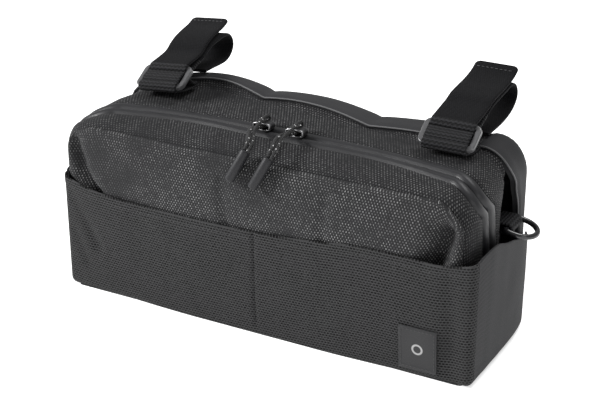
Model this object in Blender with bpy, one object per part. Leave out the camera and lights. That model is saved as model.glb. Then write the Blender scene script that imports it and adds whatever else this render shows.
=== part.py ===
"""Bicycle handlebar bag: cloth panels over a foam back, mesh pockets, a top zip and two strap loops.

Metres, +Z up. The bag stands on Z = 0 with its front to -Y, and the origin is the middle of its base.
"""
from math import cos, exp, hypot, pi, radians, sin, sqrt

import bmesh
import bpy
from mathutils import Matrix, Vector

# Overall sizes
WIDTH = 0.250            # across the side pockets
DEPTH = 0.089            # front pocket foot to the back face
HEIGHT = 0.105           # floor to the zip
GAP = 0.0003             # clearance between neighbouring pieces

# Walls
CLOTH = 0.0015           # front panel and gussets
TAPE = 0.0012            # zip tapes
MESH = 0.0012            # stretch pockets
BASE_WALL = 0.0020
PAD = 0.0060             # back foam at a crest
BACK_FOAM = 0.0060       # back foam across the back face

# Main shell
CORNER = 0.0170          # radius of the top corners, seen from the front
SIDE_GAPE = 0.0048       # room between the side wall and its pocket
SEAM_SETBACK = 0.0044    # front seam behind the front pocket's foot
DOME = 0.0026            # puff of the front panel
ZIP_SLIT = 0.0008
PLEAT = 0.0060           # depth of the side fold
TUCK = 0.0030            # gusset that runs on under the back panel
BACK_ROLL = 0.0100       # radius of the back panel's outer edge
INNER_ROLL = 0.0050
BACK_DIP = 0.0022        # depth of the sewn channels on the back face
BINDING = 0.0018         # thickness of the edge binding

# Pockets
POCKET_HEIGHT = 0.0620
POCKET_PUFF = 0.0022
POCKET_TURN = 0.0040     # radius of the front pocket's upright corners
SIDE_PUFF = 0.0020

# Webbing, strap loops and buckles
WEBBING = 0.0250
WEBBING_WALL = 0.0014
STRAP_WALL = 0.0018
STRAP_INSET = 0.0370     # strap centre from the side pocket
STRAP_REACH = 0.0570     # buckle bar to the strap's free end, along Y
BUCKLE_WIRE = 0.0030
BUCKLE_PITCH = 0.0134    # between the middles of the two long bars

# D-rings
RING_WIRE = 0.0030
RING_WIDTH = 0.0220
RING_REACH = 0.0170
RING_Y = 0.0155
RING_LIFT = 0.0055       # pin over the pocket height
RING_OUT = 0.0010        # pin outside the side wall
RING_REST = radians(12)  # droop of the ring at rest
RING_TAB = 0.0150

# Zip pulls
SLIDER_LONG = 0.0110
SLIDER_WIDE = 0.0065
SLIDER_TALL = 0.0048
SLIDER_PLATE = 0.0011
PULL_CORD = 0.0021
PULL_TUBE = 0.0056
PULL_TUBE_LONG = 0.0190

# Label
LABEL_WIDE = 0.0210
LABEL_TALL = 0.0245
LABEL_WALL = 0.0008
LABEL_INSET = 0.0290     # label centre from the side pocket
LABEL_Z = 0.0170

FLOOR = BASE_WALL + GAP
HALF_DEPTH = DEPTH / 2
SHELL_HALF = WIDTH / 2 - MESH - SIDE_GAPE
FRONT_SEAM = -HALF_DEPTH + SEAM_SETBACK
STRAP_X = WIDTH / 2 - STRAP_INSET
LABEL_X = WIDTH / 2 - LABEL_INSET
RING_Z = POCKET_HEIGHT + RING_LIFT
RING_X = SHELL_HALF + RING_OUT

# The shell from front to back: depth, half width and height as shares of
# HALF_DEPTH, SHELL_HALF and HEIGHT.
SHELL = (
    (-0.91, 0.985, 0.945),
    (-0.65, 1.000, 0.974),
    (-0.40, 1.000, 0.990),
    (-0.10, 1.000, 1.000),
    (0.25, 0.985, 1.001),
    (0.54, 0.967, 1.003),
    (1.00, 0.967, 1.003),
)
# Stations run round the shell: 0 is the middle of the top, 1 the start of a corner, 2 its end
# and 3 the foot of the side. Left is negative.
SAG = ((-1.0, 0.0), (-0.6, 0.012), (0.0, 0.0), (0.34, -0.020), (0.62, -0.018), (1.0, 0.0))
# The zip's front and back edge by station, as shares of HALF_DEPTH.
ZIP = (
    (0.0, -0.415, -0.095),
    (0.6, -0.405, -0.170),
    (0.9, -0.530, -0.250),
    (1.3, -0.650, -0.335),
    (1.7, -0.665, -0.350),
    (2.0, -0.540, -0.190),
    (2.2, -0.460, -0.075),
    (3.0, -0.404, 0.000),
)
# The side fold by station: its crease as a share of HALF_DEPTH, its depth as a share of PLEAT.
FOLD = (
    (0.0, 0.270, 0.0),
    (1.0, 0.170, 0.0),
    (1.5, 0.200, 0.0),
    (1.75, 0.230, 0.25),
    (2.0, 0.130, 0.80),
    (2.1, 0.060, 1.0),
    (2.3, 0.060, 1.0),
    (3.0, 0.100, 0.5),
)
# Front edge of the back panel by station, as a share of HALF_DEPTH.
BACK_EDGE = (
    (-3.0, 0.670), (-2.24, 0.640), (-2.03, 0.500), (-1.6, 0.380), (-1.0, 0.520),
    (-0.75, 0.650), (-0.59, 0.650), (-0.36, 0.550), (-0.13, 0.560), (0.14, 0.520),
    (0.34, 0.470), (0.60, 0.460), (0.95, 0.390), (1.6, 0.330), (2.03, 0.495),
    (2.14, 0.600), (2.24, 0.640), (3.0, 0.670),
)
# Padded channels of the back panel: first and last station, crest as a share of PAD.
CHANNELS = ((-1.0, -0.343, 1.0), (-0.343, 0.343, 0.78), (0.343, 1.0, 0.68))
SIDE_CREST = 0.70
SEAM_CREST = 0.32
# Front pocket rim: share of the half width, share of POCKET_HEIGHT.
RIM = (
    (-1.0, 1.105), (-0.976, 1.090), (-0.82, 1.015), (-0.48, 0.978), (-0.13, 0.975),
    (0.22, 1.015), (0.49, 1.080), (0.67, 1.085), (0.86, 1.068), (1.0, 1.120),
)
# Side pocket, front to back: depth as a share of HALF_DEPTH, rim height as a share of
# POCKET_HEIGHT, half width at the foot as a share of WIDTH / 2, puff as a share of SIDE_PUFF.
SIDE_RIM = (
    (-0.91, 1.120, 1.000, 0.0),
    (-0.76, 1.150, 1.000, 0.5),
    (-0.50, 1.165, 1.000, 1.0),
    (-0.20, 1.095, 1.000, 1.1),
    (0.07, 1.040, 1.000, 1.1),
    (0.20, 1.005, 0.999, 1.1),
    (0.43, 0.960, 0.996, 0.9),
    (0.69, 0.885, 0.985, 0.3),
    (0.92, 0.840, 0.957, 0.0),
)
# Dents and ridges of the front panel: both ends as shares of SHELL_HALF and HEIGHT, half width
# as a share of HEIGHT, depth as a share of DOME (inwards is positive).
FRONT_DENTS = (
    (-0.965, 0.900, -0.865, 0.600, 0.045, 0.65),
    (0.830, 0.700, 0.800, 0.580, 0.075, 0.85),
    (0.965, 0.760, 0.900, 0.600, 0.040, -0.35),
)
POCKET_DENTS = (
    (-0.985, 0.500, -0.880, 0.300, 0.045, 0.40),
    (0.900, 0.620, 0.940, 0.060, 0.050, 0.60),
)
# Strap loops, from the sewn end to the buckle bar and from the bar to the free end: along Y
# and Z from the bar, as shares of STRAP_REACH.
STRAP_RIGHT_UNDER = (
    (0.300, -0.158), (0.430, -0.156), (0.590, -0.152), (0.745, -0.136), (0.885, -0.097),
    (0.972, -0.035), (0.992, 0.036), (0.955, 0.104), (0.885, 0.146), (0.800, 0.152),
    (0.690, 0.135), (0.535, 0.118), (0.395, 0.098), (0.285, 0.062), (0.140, 0.000),
)
STRAP_RIGHT_OVER = (
    (0.145, 0.078), (0.285, 0.108), (0.395, 0.143), (0.550, 0.164), (0.700, 0.180),
    (0.870, 0.216), (1.000, 0.274),
)
STRAP_LEFT_UNDER = (
    (0.320, -0.110), (0.450, -0.110), (0.600, -0.114), (0.720, -0.106), (0.805, -0.062),
    (0.850, 0.008), (0.838, 0.080), (0.780, 0.141), (0.710, 0.155), (0.620, 0.149),
    (0.480, 0.128), (0.358, 0.084), (0.255, 0.035), (0.130, -0.008),
)
STRAP_LEFT_OVER = (
    (0.132, 0.065), (0.270, 0.090), (0.375, 0.143), (0.480, 0.178), (0.620, 0.199),
    (0.800, 0.211), (0.956, 0.233),
)
# Strap sets: side, roll across the webbing in radians, the buckle's upper bar as a share of
# HALF_DEPTH and its height over HEIGHT, the buckle's tilt in degrees, and both strap runs.
STRAP_SETS = (
    ("right", 1, 0.0, 0.209, 0.0139, 34, STRAP_RIGHT_UNDER, STRAP_RIGHT_OVER),
    ("left", -1, 0.10, 0.281, 0.0145, 31, STRAP_LEFT_UNDER, STRAP_LEFT_OVER),
)
# The zip pulls: x of the slider, then the top and the foot of the pull tube, as x, how far
# they stand before the front pocket's foot and how far over HEIGHT, in metres.
PULLS = (
    ("left", -0.0130, (-0.0052, -0.0011, 0.0006), (-0.0128, 0.0045, -0.0157)),
    ("right", 0.0070, (0.0090, -0.0003, -0.0006), (0.0010, 0.0049, -0.0176)),
)
CHANNEL_ROUND = 0.7      # power that rounds the crests of the padded channels
SAG_REACH = 0.45         # share of HALF_DEPTH behind the zip over which the top starts to sag


def clear_scene():
    for obj in list(bpy.data.objects):
        bpy.data.objects.remove(obj, do_unlink=True)


def material(name, colour, roughness, metallic=0.0):
    mat = bpy.data.materials.new(name)
    mat.use_nodes = True
    shader = mat.node_tree.nodes["Principled BSDF"]
    shader.inputs["Base Color"].default_value = (*colour, 1.0)
    shader.inputs["Roughness"].default_value = roughness
    shader.inputs["Metallic"].default_value = metallic
    return mat


def make_materials():
    return {
        "weave": material("dobby_weave", (0.055, 0.055, 0.058), 0.75),
        "mesh": material("stretch_mesh", (0.038, 0.038, 0.040), 0.85),
        "tape": material("coated_tape", (0.060, 0.060, 0.064), 0.40),
        "panel": material("matt_panel", (0.075, 0.075, 0.080), 0.65),
        "webbing": material("black_webbing", (0.020, 0.020, 0.022), 0.80),
        "plastic": material("black_plastic", (0.025, 0.025, 0.027), 0.25),
        "cord": material("fleck_cord", (0.040, 0.040, 0.042), 0.70),
        "rubber": material("pull_rubber", (0.035, 0.035, 0.038), 0.50),
        "metal": material("dark_metal", (0.120, 0.120, 0.125), 0.35, 0.9),
    }


def table(rows, at, column=1):
    """Reads a column of a table at a place between its rows, on a smooth curve."""
    if at <= rows[0][0]:
        return rows[0][column]
    for low in range(len(rows) - 1):
        if at <= rows[low + 1][0]:
            break
    else:
        return rows[-1][column]

    def slope(row):
        before, after = rows[max(row - 1, 0)], rows[min(row + 1, len(rows) - 1)]
        return (after[column] - before[column]) / (after[0] - before[0])

    span = rows[low + 1][0] - rows[low][0]
    t = (at - rows[low][0]) / span
    first = rows[low][column] * (2 * t**3 - 3 * t**2 + 1)
    second = rows[low + 1][column] * (3 * t**2 - 2 * t**3)
    bend = slope(low) * (t**3 - 2 * t**2 + t) + slope(low + 1) * (t**3 - t**2)
    return first + second + bend * span


def table_end(rows):
    return rows[-1][0]


def curve_through(points, steps):
    """A smooth run of points through the given ones, with that many steps between each two."""
    rows = [Vector(p) for p in points]
    found = []
    for low in range(len(rows) - 1):
        before, after = rows[max(low - 1, 0)], rows[min(low + 2, len(rows) - 1)]
        start, end = rows[low], rows[low + 1]
        for step in range(steps):
            t = step / steps
            found.append(0.5 * (2 * start + (end - before) * t
                                + (2 * before - 5 * start + 4 * end - after) * t**2
                                + (3 * start - before - 3 * end + after) * t**3))
    return found + [rows[-1]]


def build_object(name, points, faces, mat, sharp=40):
    mesh = bpy.data.meshes.new(name)
    mesh.from_pydata([tuple(p) for p in points], [], faces)
    mesh.shade_smooth()
    mesh.set_sharp_from_angle(angle=radians(sharp))
    obj = bpy.data.objects.new(name, mesh)
    obj.data.materials.append(mat)
    bpy.context.scene.collection.objects.link(obj)
    return obj


def face_outwards(obj):
    """Turns a closed mesh's faces out."""
    work = bmesh.new()
    work.from_mesh(obj.data)
    if work.calc_volume(signed=True) < 0:
        bmesh.ops.reverse_faces(work, faces=work.faces)
    work.to_mesh(obj.data)
    work.free()
    return obj


def grid_faces(rows, columns):
    return [(r * columns + c, r * columns + c + 1, (r + 1) * columns + c + 1, (r + 1) * columns + c)
            for r in range(rows - 1) for c in range(columns - 1)]


def sheet(name, rows, wall, mat):
    """A cloth sheet: its outer side is the grid of points, and its wall is set off inwards."""
    points = [point for row in rows for point in row]
    obj = build_object(name, points, grid_faces(len(rows), len(rows[0])), mat)
    solidify = obj.modifiers.new("wall", "SOLIDIFY")
    solidify.thickness = wall
    solidify.offset = -1
    solidify.use_even_offset = True
    return obj


def closed_wall(name, outer, inner, faces, mat):
    """A wall between two point sets with the same faces, closed along its open edges."""
    count = len(outer)
    edges = {(a, b) for face in faces for a, b in zip(face, face[1:] + face[:1])}
    rim = [(b, a, a + count, b + count) for a, b in sorted(edges) if (b, a) not in edges]
    back = [tuple(i + count for i in reversed(face)) for face in faces]
    return build_object(name, list(outer) + list(inner), [*faces, *back, *rim], mat)


def sweep(name, path, section, across, mat, closed=False):
    """Carries a section along a path. A section point is (along the across vector, off the path)."""
    count, sides = len(path), len(section)
    points = []
    for i, place in enumerate(path):
        ahead = path[(i + 1) % count] if closed or i < count - 1 else place
        behind = path[i - 1] if closed or i > 0 else place
        normal = across.cross(ahead - behind).normalized()
        points += [place + across * a + normal * b for a, b in section]
    runs = count if closed else count - 1
    faces = [(i * sides + s, i * sides + (s + 1) % sides,
              (i + 1) % count * sides + (s + 1) % sides, (i + 1) % count * sides + s)
             for i in range(runs) for s in range(sides)]
    if not closed:
        faces += [tuple(reversed(range(sides))), tuple(range((count - 1) * sides, count * sides))]
    return face_outwards(build_object(name, points, faces, mat))


def flat_section(wide, thick):
    return ((wide / 2, -thick / 2), (wide / 2, thick / 2), (-wide / 2, thick / 2), (-wide / 2, -thick / 2))


def round_section(diameter, sides):
    radius, turns = diameter / 2, [2 * pi * (i + 0.5) / sides for i in range(sides)]
    return tuple((radius * cos(a), radius * sin(a)) for a in turns)


def stations(top, arc, side):
    """Stations round the shell from the left foot to the right foot."""
    half = [i / top for i in range(top)]
    half += [1 + i / arc for i in range(arc)]
    half += [2 + i / side for i in range(side + 1)]
    return [-q for q in reversed(half[1:])] + half


def shell_half(y):
    return SHELL_HALF * table(SHELL, y / HALF_DEPTH, 1)


def shell_top(q, y):
    behind_zip = min(max(y / (SAG_REACH * HALF_DEPTH), 0), 1)
    return HEIGHT * (table(SHELL, y / HALF_DEPTH, 2) + table(SAG, q) * behind_zip)


def shell(q, y, out=0.0):
    """The point of the main shell at a station and depth, moved outwards by out."""
    side, q_abs = (1 if q >= 0 else -1), abs(q)
    half, top = shell_half(y), shell_top(q, y)
    if q_abs <= 1:
        x, z, along, up = q_abs * (half - CORNER), top, 0, 1
    elif q_abs <= 2:
        along, up = sin((q_abs - 1) * pi / 2), cos((q_abs - 1) * pi / 2)
        x, z = half - CORNER + CORNER * along, top - CORNER + CORNER * up
    else:
        x, z, along, up = half, top - CORNER - (q_abs - 2) * (top - CORNER - FLOOR), 1, 0
    return Vector((side * (x + along * out), y, z + up * out))


def zip_front(q):
    return HALF_DEPTH * table(ZIP, abs(q), 1)


def zip_back(q):
    return HALF_DEPTH * table(ZIP, abs(q), 2)


def zip_slit(q):
    return (zip_front(q) + zip_back(q)) / 2


def back_edge(q):
    return HALF_DEPTH * table(BACK_EDGE, q)


def pad(q):
    """Thickness of the back panel's foam at a station."""
    for first, last, crest in CHANNELS:
        if first <= q <= last:
            share = sin(pi * (q - first) / (last - first)) ** CHANNEL_ROUND if first < q < last else 0
            return PAD * (SEAM_CREST + (crest - SEAM_CREST) * share)
    share = sin(pi / 2 * min((abs(q) - 1) / 0.5, 1)) ** CHANNEL_ROUND
    return PAD * (SEAM_CREST + (SIDE_CREST - SEAM_CREST) * share)


def dent(x, z, dents):
    """Sum of the dents at a place, as a share of their full depth."""
    total = 0
    for x0, z0, x1, z1, width, depth in dents:
        ax, az, bx, bz = x0 * SHELL_HALF, z0 * HEIGHT, x1 * SHELL_HALF, z1 * HEIGHT
        t = ((x - ax) * (bx - ax) + (z - az) * (bz - az)) / ((bx - ax) ** 2 + (bz - az) ** 2)
        t = min(max(t, 0), 1)
        off = hypot(x - ax - t * (bx - ax), z - az - t * (bz - az)) / (width * HEIGHT)
        total += depth * exp(-off * off)
    return total


def shell_band(name, start, end, rows, wall, mat, q_list):
    """A band of the shell between two depths, each a function of the station."""
    grid = [[shell(q, start(q) + (end(q) - start(q)) * row / (rows - 1)) for q in q_list]
            for row in range(rows)]
    return sheet(name, grid, wall, mat)


def make_top_bands(mats, q_list):
    """The front gusset and both halves of the zip tape, which run over the top and down the sides."""
    def seam(q):
        return FRONT_SEAM

    def tape_start(q):
        return zip_front(q) - GAP

    def slit_front(q):
        return zip_slit(q) - ZIP_SLIT / 2

    def slit_back(q):
        return zip_slit(q) + ZIP_SLIT / 2

    shell_band("gusset_front", seam, tape_start, 4, CLOTH, mats["weave"], q_list)
    shell_band("zip_tape_front", zip_front, slit_front, 2, TAPE, mats["tape"], q_list)
    shell_band("zip_tape_back", slit_back, zip_back, 2, TAPE, mats["tape"], q_list)


def rounded_corner(x, z, half, top, radius):
    """Moves a point of a rectangle's top corner blocks onto rounded corners."""
    u = (abs(x) - (half - radius)) / radius
    v = (z - (top - radius)) / radius
    if u <= 0 or v <= 0:
        return x, z
    side = 1 if x > 0 else -1
    return (side * (half - radius + radius * u * sqrt(1 - v * v / 2)),
            top - radius + radius * v * sqrt(1 - u * u / 2))


def spread(low, high, count):
    return [low + (high - low) * i / count for i in range(count + 1)]


def make_front_panel(mats):
    half, top, corner_steps = shell_half(FRONT_SEAM), shell_top(0, FRONT_SEAM), 2
    inner = spread(-(half - CORNER), half - CORNER, 16)
    corner = [half - CORNER + CORNER * (i + 1) / corner_steps for i in range(corner_steps)]
    xs = [-x for x in reversed(corner)] + inner + corner
    zs = spread(FLOOR, top - CORNER, 8) + [top - CORNER + CORNER * (i + 1) / corner_steps
                                           for i in range(corner_steps)]
    face = FRONT_SEAM - GAP - CLOTH
    grid = []
    for z in zs:
        row = []
        for x in xs:
            u, v = x / half, (z - top / 2) / (top / 2)
            puff = (1 - abs(u) ** 6) * (1 - abs(v) ** 4)
            edge = max(min(1, 4 * (1 - abs(u)), 4 * (1 - abs(v))), 0)
            px, pz = rounded_corner(x, z, half, top, CORNER)
            row.append(Vector((px, face - DOME * (puff - edge * dent(x, z, FRONT_DENTS)), pz)))
        grid.append(row)
    return sheet("front_panel", grid, CLOTH, mats["weave"])


def make_gusset_back(mats, q_list):
    """The rear gusset: from the zip to under the back panel, folded inwards down the sides."""
    def fold(q, column):
        return table(FOLD, abs(q), column)

    rows = [[] for _ in range(6)]
    for q in q_list:
        start, edge, crease = zip_back(q) + GAP, back_edge(q), HALF_DEPTH * fold(q, 1)
        depth = PLEAT * fold(q, 2)
        past = crease + 0.18 * (edge - crease)
        places = ((start, 0), ((start + crease) / 2, 0), (crease, 0), (past, -depth),
                  (edge - 0.15 * (edge - crease), -depth), (edge + TUCK, 0))
        for row, (y, out) in zip(rows, places):
            row.append(shell(q, y, out))
    return sheet("gusset_back", rows, CLOTH, mats["weave"])


def back_outer(q, swing):
    """Outer side of the back panel round its edge: swing runs from 0 on the back face to 90 degrees."""
    flat = HALF_DEPTH - BACK_DIP * (1 - (pad(q) / PAD - SEAM_CREST) / (1 - SEAM_CREST))
    y = flat - BACK_ROLL * (1 - cos(swing))
    return shell(q, y, GAP + pad(q) - BACK_ROLL * (1 - sin(swing)))


def back_inner(q, swing):
    y = HALF_DEPTH - BACK_FOAM - INNER_ROLL * (1 - cos(swing))
    return shell(q, y, GAP - INNER_ROLL * (1 - sin(swing)))


def back_stations():
    """Stations of the back panel: a few on each channel, with corners and sides to match."""
    per_channel = 5
    corner = [-3.0, -2.75, -2.5, -2.25, -2.0, -1.77, -1.5, -1.23]
    top = [-1.0]
    for first, last, _ in CHANNELS:
        top += spread(first, last, per_channel)[1:]
    return corner + top + [-q for q in reversed(corner)]


def make_back_panel(mats):
    """A foam cap: the back face, a rolled edge, and wings that reach forward over top and sides."""
    q_list, roll_steps = back_stations(), 3
    height = q_list.index(-1.5) + 1
    columns = len(q_list) - 2 * (height - 1)

    def face_grid(edge):
        """The back face inside its edge points, with straight upright channels."""
        low, high = edge[:height], edge[height - 1:height - 1 + columns]
        right = edge[height - 2 + columns:][::-1]
        grid = []
        for r in range(height - 1):
            rise = (low[r].z - FLOOR) / (low[-1].z - FLOOR)
            inside = [Vector((p.x, p.y, FLOOR + (p.z - FLOOR) * rise)) for p in high[1:-1]]
            grid.append([low[r], *inside, right[r]])
        return grid + [high]

    def points(round_edge, foam):
        found = [p for row in face_grid([round_edge(q, 0) for q in q_list]) for p in row]
        rolled = []
        for step in range(1, roll_steps + 1):
            rolled = [round_edge(q, pi / 2 * step / roll_steps) for q in q_list]
            found += rolled
        for share in (0.5, 1.0):
            found += [shell(q, p.y + (back_edge(q) - p.y) * share, GAP + foam * pad(q))
                      for q, p in zip(q_list, rolled)]
        return found

    def face_index(i):
        """Index on the face grid of the i-th edge point, from the left foot round to the right foot."""
        if i < height:
            return i * columns
        if i < height - 1 + columns:
            return (height - 1) * columns + i - (height - 1)
        return (2 * (height - 1) + columns - 1 - i) * columns + columns - 1

    faces = [tuple(reversed(f)) for f in grid_faces(height, columns)]
    base, count = height * columns, len(q_list)
    for i in range(count - 1):
        faces.append((base + i, base + i + 1, face_index(i + 1), face_index(i)))
        for row in range(roll_steps + 1):
            a = base + row * count + i
            faces.append((a + count, a + count + 1, a + 1, a))
    return closed_wall("back_panel", points(back_outer, 1), points(back_inner, 0), faces, mats["panel"])


def tube(name, points, diameter, mat, resolution):
    """A round cord with filled ends along a run of points."""
    curve = bpy.data.curves.new(name, "CURVE")
    curve.dimensions = "3D"
    curve.bevel_depth = diameter / 2
    curve.bevel_resolution = resolution
    curve.use_fill_caps = True
    spline = curve.splines.new("POLY")
    spline.points.add(len(points) - 1)
    for point, place in zip(spline.points, points):
        point.co = (*place, 1)
    curve.materials.append(mat)
    obj = bpy.data.objects.new(name, curve)
    bpy.context.scene.collection.objects.link(obj)
    return obj


def make_back_binding(mats):
    foot = 2.3
    q_list = [q for q in back_stations() if abs(q) < foot]
    run = []
    for q in q_list:
        lift = GAP + max(pad(q), BINDING) - BINDING / 2
        run.append(shell(q, back_edge(q) - 3 * GAP - BINDING / 2, lift))
    return tube("back_binding", run, BINDING, mats["panel"], 1)


def back_side_x(y):
    """Half width over the back panel's side at a depth."""
    flat = HALF_DEPTH - BACK_DIP * (1 - (SIDE_CREST - SEAM_CREST) / (1 - SEAM_CREST))
    start = flat - BACK_ROLL
    full = shell_half(y) + GAP + PAD * SIDE_CREST
    if y <= start:
        return full
    return full - BACK_ROLL + sqrt(max(BACK_ROLL**2 - (y - start) ** 2, 0))


def side_pocket_foot(y):
    """Half width over the side pocket's foot at a depth."""
    return max(WIDTH / 2 * table(SIDE_RIM, y / HALF_DEPTH, 2), back_side_x(y) + GAP + MESH)


def make_base_panel(mats):
    """The bottom: a plate inside the feet of the pockets, under the shell and the back panel."""
    front, back = -HALF_DEPTH + MESH + GAP, HALF_DEPTH - BACK_DIP
    pocket_end = table_end(SIDE_RIM) * HALF_DEPTH
    turn = POCKET_TURN - MESH - GAP
    right = []
    for i in range(4):
        swing = pi / 2 * i / 3
        right.append((WIDTH / 2 - MESH - GAP - turn * (1 - sin(swing)), front + turn * (1 - cos(swing))))
    right += [(side_pocket_foot(y) - MESH - GAP, y) for y in spread(front + 2 * turn, pocket_end, 10)]
    right += [(back_side_x(y), y) for y in spread(pocket_end, back, 3)[1:]]
    outline = right + [(-x, y) for x, y in reversed(right)]
    count = len(outline)
    points = [(x, y, z) for z in (0, BASE_WALL) for x, y in outline]
    faces = [tuple(reversed(range(count))), tuple(range(count, 2 * count))]
    faces += [(i, (i + 1) % count, (i + 1) % count + count, i + count) for i in range(count)]
    return build_object("base_panel", points, faces, mats["weave"])


def front_pocket_point(x, share, out=0.0):
    """The front pocket's outer side at an x and a share of its height."""
    half = WIDTH / 2
    z = share * POCKET_HEIGHT * table(RIM, x / half)
    u = abs(x) / half
    puff = (1 - u**8) * (0.85 * sin(pi / 2 * share) + 0.35 * sin(pi * share))
    y = -HALF_DEPTH - POCKET_PUFF * (puff - (1 - u**8) * dent(x, z, POCKET_DENTS) * sin(pi * share) ** 0.5)
    turn = max(abs(x) - (half - POCKET_TURN), 0)
    y += POCKET_TURN - sqrt(max(POCKET_TURN**2 - turn**2, 0))
    return Vector((x, y - out, z))


def make_front_pocket(mats):
    half = WIDTH / 2
    corner = [half - POCKET_TURN * (1 - sin(pi / 2 * i / 3)) for i in (1, 2, 3)]
    xs = [-x for x in reversed(corner)] + spread(-(half - POCKET_TURN), half - POCKET_TURN, 20) + corner
    grid = [[front_pocket_point(x, share) for x in xs] for share in spread(0, 1, 6)]
    return sheet("pocket_front", grid, MESH, mats["mesh"])


def make_side_pocket(name, side, mats):
    start = -HALF_DEPTH + POCKET_TURN + GAP
    ys = spread(start, table_end(SIDE_RIM) * HALF_DEPTH, 10)
    grid = []
    for share in spread(0, 1, 5):
        row = []
        for y in ys:
            rim = POCKET_HEIGHT * table(SIDE_RIM, y / HALF_DEPTH, 1)
            puff = SIDE_PUFF * table(SIDE_RIM, y / HALF_DEPTH, 3) * sin(pi / 2 * share)
            row.append(Vector((side * (side_pocket_foot(y) + puff), y, rim * share)))
        grid.append(row if side > 0 else row[::-1])
    return sheet(name, grid, MESH, mats["mesh"])


def make_label(mats):
    grid = [[front_pocket_point(x, z / (POCKET_HEIGHT * table(RIM, x / (WIDTH / 2))), GAP + LABEL_WALL)
             for x in spread(LABEL_X - LABEL_WIDE / 2, LABEL_X + LABEL_WIDE / 2, 3)]
            for z in spread(LABEL_Z - LABEL_TALL / 2, LABEL_Z + LABEL_TALL / 2, 3)]
    return sheet("label_patch", grid, LABEL_WALL, mats["panel"])


def turn_round(bar, radius, first, last, steps):
    """Points round a bar in the YZ plane, by angle from +Y towards +Z."""
    return [(bar[0] + radius * cos(radians(a)), bar[1] + radius * sin(radians(a)))
            for a in spread(first, last, steps)]


def make_strap_set(name, side, roll, bar, tilt, under, over, mats):
    """A strap loop, its buckle and the webbing that anchors the buckle.

    bar is the middle (y, z) of the buckle's upper bar and tilt its rise towards the back.
    The webbing at the rear lies on the shell and is sewn down just before the back panel.
    """
    across = Vector((cos(roll), 0, sin(roll)))
    low_bar = (bar[0] - BUCKLE_PITCH * cos(tilt), bar[1] - BUCKLE_PITCH * sin(tilt))

    def place(y, z):
        return Vector((side * STRAP_X, y, z))

    turn = BUCKLE_WIRE / 2 + GAP + STRAP_WALL / 2
    lower = [(bar[0] + y * STRAP_REACH, bar[1] + z * STRAP_REACH) for y, z in under]
    upper = [(bar[0] + y * STRAP_REACH, bar[1] + z * STRAP_REACH) for y, z in over]
    run = curve_through([place(*p) for p in lower], 2)
    run += [place(*p) for p in turn_round(bar, turn, -75, -260, 7)]
    run += curve_through([place(*p) for p in upper], 2)
    sweep("strap_" + name, run, flat_section(WEBBING, STRAP_WALL), across, mats["webbing"])

    across_webbing = [side * x for x in spread(STRAP_X - WEBBING / 2, STRAP_X + WEBBING / 2, 4)]
    rear = min(back_edge(x / (shell_half(0) - CORNER)) for x in across_webbing) - 3 * BINDING
    seat = max(shell(x / (shell_half(rear) - CORNER), rear).z - (x - side * STRAP_X) * sin(roll)
               for x in across_webbing)
    seat += GAP + 0.6 * WEBBING_WALL
    turn = BUCKLE_WIRE / 2 + GAP + WEBBING_WALL / 2
    middle = (rear + low_bar[0]) / 2
    ends = ((rear, seat), (middle, (seat + low_bar[1] - turn) / 2 - 0.3 * turn))
    tops = ((middle, (seat + low_bar[1] + turn) / 2 + turn), (rear, seat + 1.5 * WEBBING_WALL))
    run = [place(*p) for p in ends]
    run += [place(*p) for p in turn_round(low_bar, turn, -95, -285, 7)]
    run += [place(*p) for p in tops]
    sweep("strap_anchor_" + name, run, flat_section(WEBBING, WEBBING_WALL), across, mats["webbing"])

    along = Vector((0, cos(tilt), sin(tilt)))
    normal = across.cross(along).normalized()
    centre = place((bar[0] + low_bar[0]) / 2, (bar[1] + low_bar[1]) / 2)
    half_wide = WEBBING / 2 + GAP + BUCKLE_WIRE / 2
    path = []
    for quarter in range(4):
        for step in range(3):
            swing = pi / 2 * (quarter + step / 2)
            bend = BUCKLE_WIRE / 2
            x = (half_wide - bend) * (1 if quarter in (0, 3) else -1) + bend * cos(swing)
            y = (BUCKLE_PITCH / 2 - bend) * (1 if quarter in (0, 1) else -1) + bend * sin(swing)
            path.append(centre + across * x + along * y)
    sweep("buckle_" + name, path, round_section(BUCKLE_WIRE, 6), normal, mats["plastic"], closed=True)


def make_ring(name, side, mats):
    """A D-ring on its pin axis, and the webbing tab that holds the pin."""
    pin = Vector((side * RING_X, RING_Y, RING_Z))
    half = RING_WIDTH / 2 - RING_WIRE / 2
    reach = RING_REACH - RING_WIRE
    straight = 0.3 * reach
    path = [(0, -half + 0.12 * half), (0, half - 0.12 * half), (0.08 * reach, half)]
    steps = 10
    for i in range(steps + 1):
        swing = pi / 2 - pi * i / steps
        path.append((straight + (reach - straight) * cos(swing), half * sin(swing)))
    path.append((0.08 * reach, -half))
    obj = sweep("d_ring_" + name, [Vector((a, b, 0)) for a, b in path],
                round_section(RING_WIRE, 8), Vector((0, 0, 1)), mats["plastic"], closed=True)
    turned = Matrix.Rotation(pi if side < 0 else 0, 4, "Z") @ Matrix.Rotation(RING_REST, 4, "Y")
    obj.matrix_world = Matrix.Translation(pin) @ turned

    radius = RING_WIRE / 2 + GAP + WEBBING_WALL / 2
    root = shell_half(RING_Y - RING_TAB / 2) - PLEAT + 2 * GAP
    profile = [(root, RING_Z + radius), (RING_X - radius, RING_Z + radius)]
    profile += [(RING_X + radius * sin(radians(a)), RING_Z + radius * cos(radians(a)))
                for a in spread(0, 180, 6)]
    profile += [(RING_X - radius, RING_Z - radius), (root, RING_Z - radius)]
    run = [Vector((side * x, RING_Y, z)) for x, z in profile]
    across = Vector((0, 1, 0))
    sweep("ring_tab_" + name, run, flat_section(RING_TAB, WEBBING_WALL), across, mats["webbing"])


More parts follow.
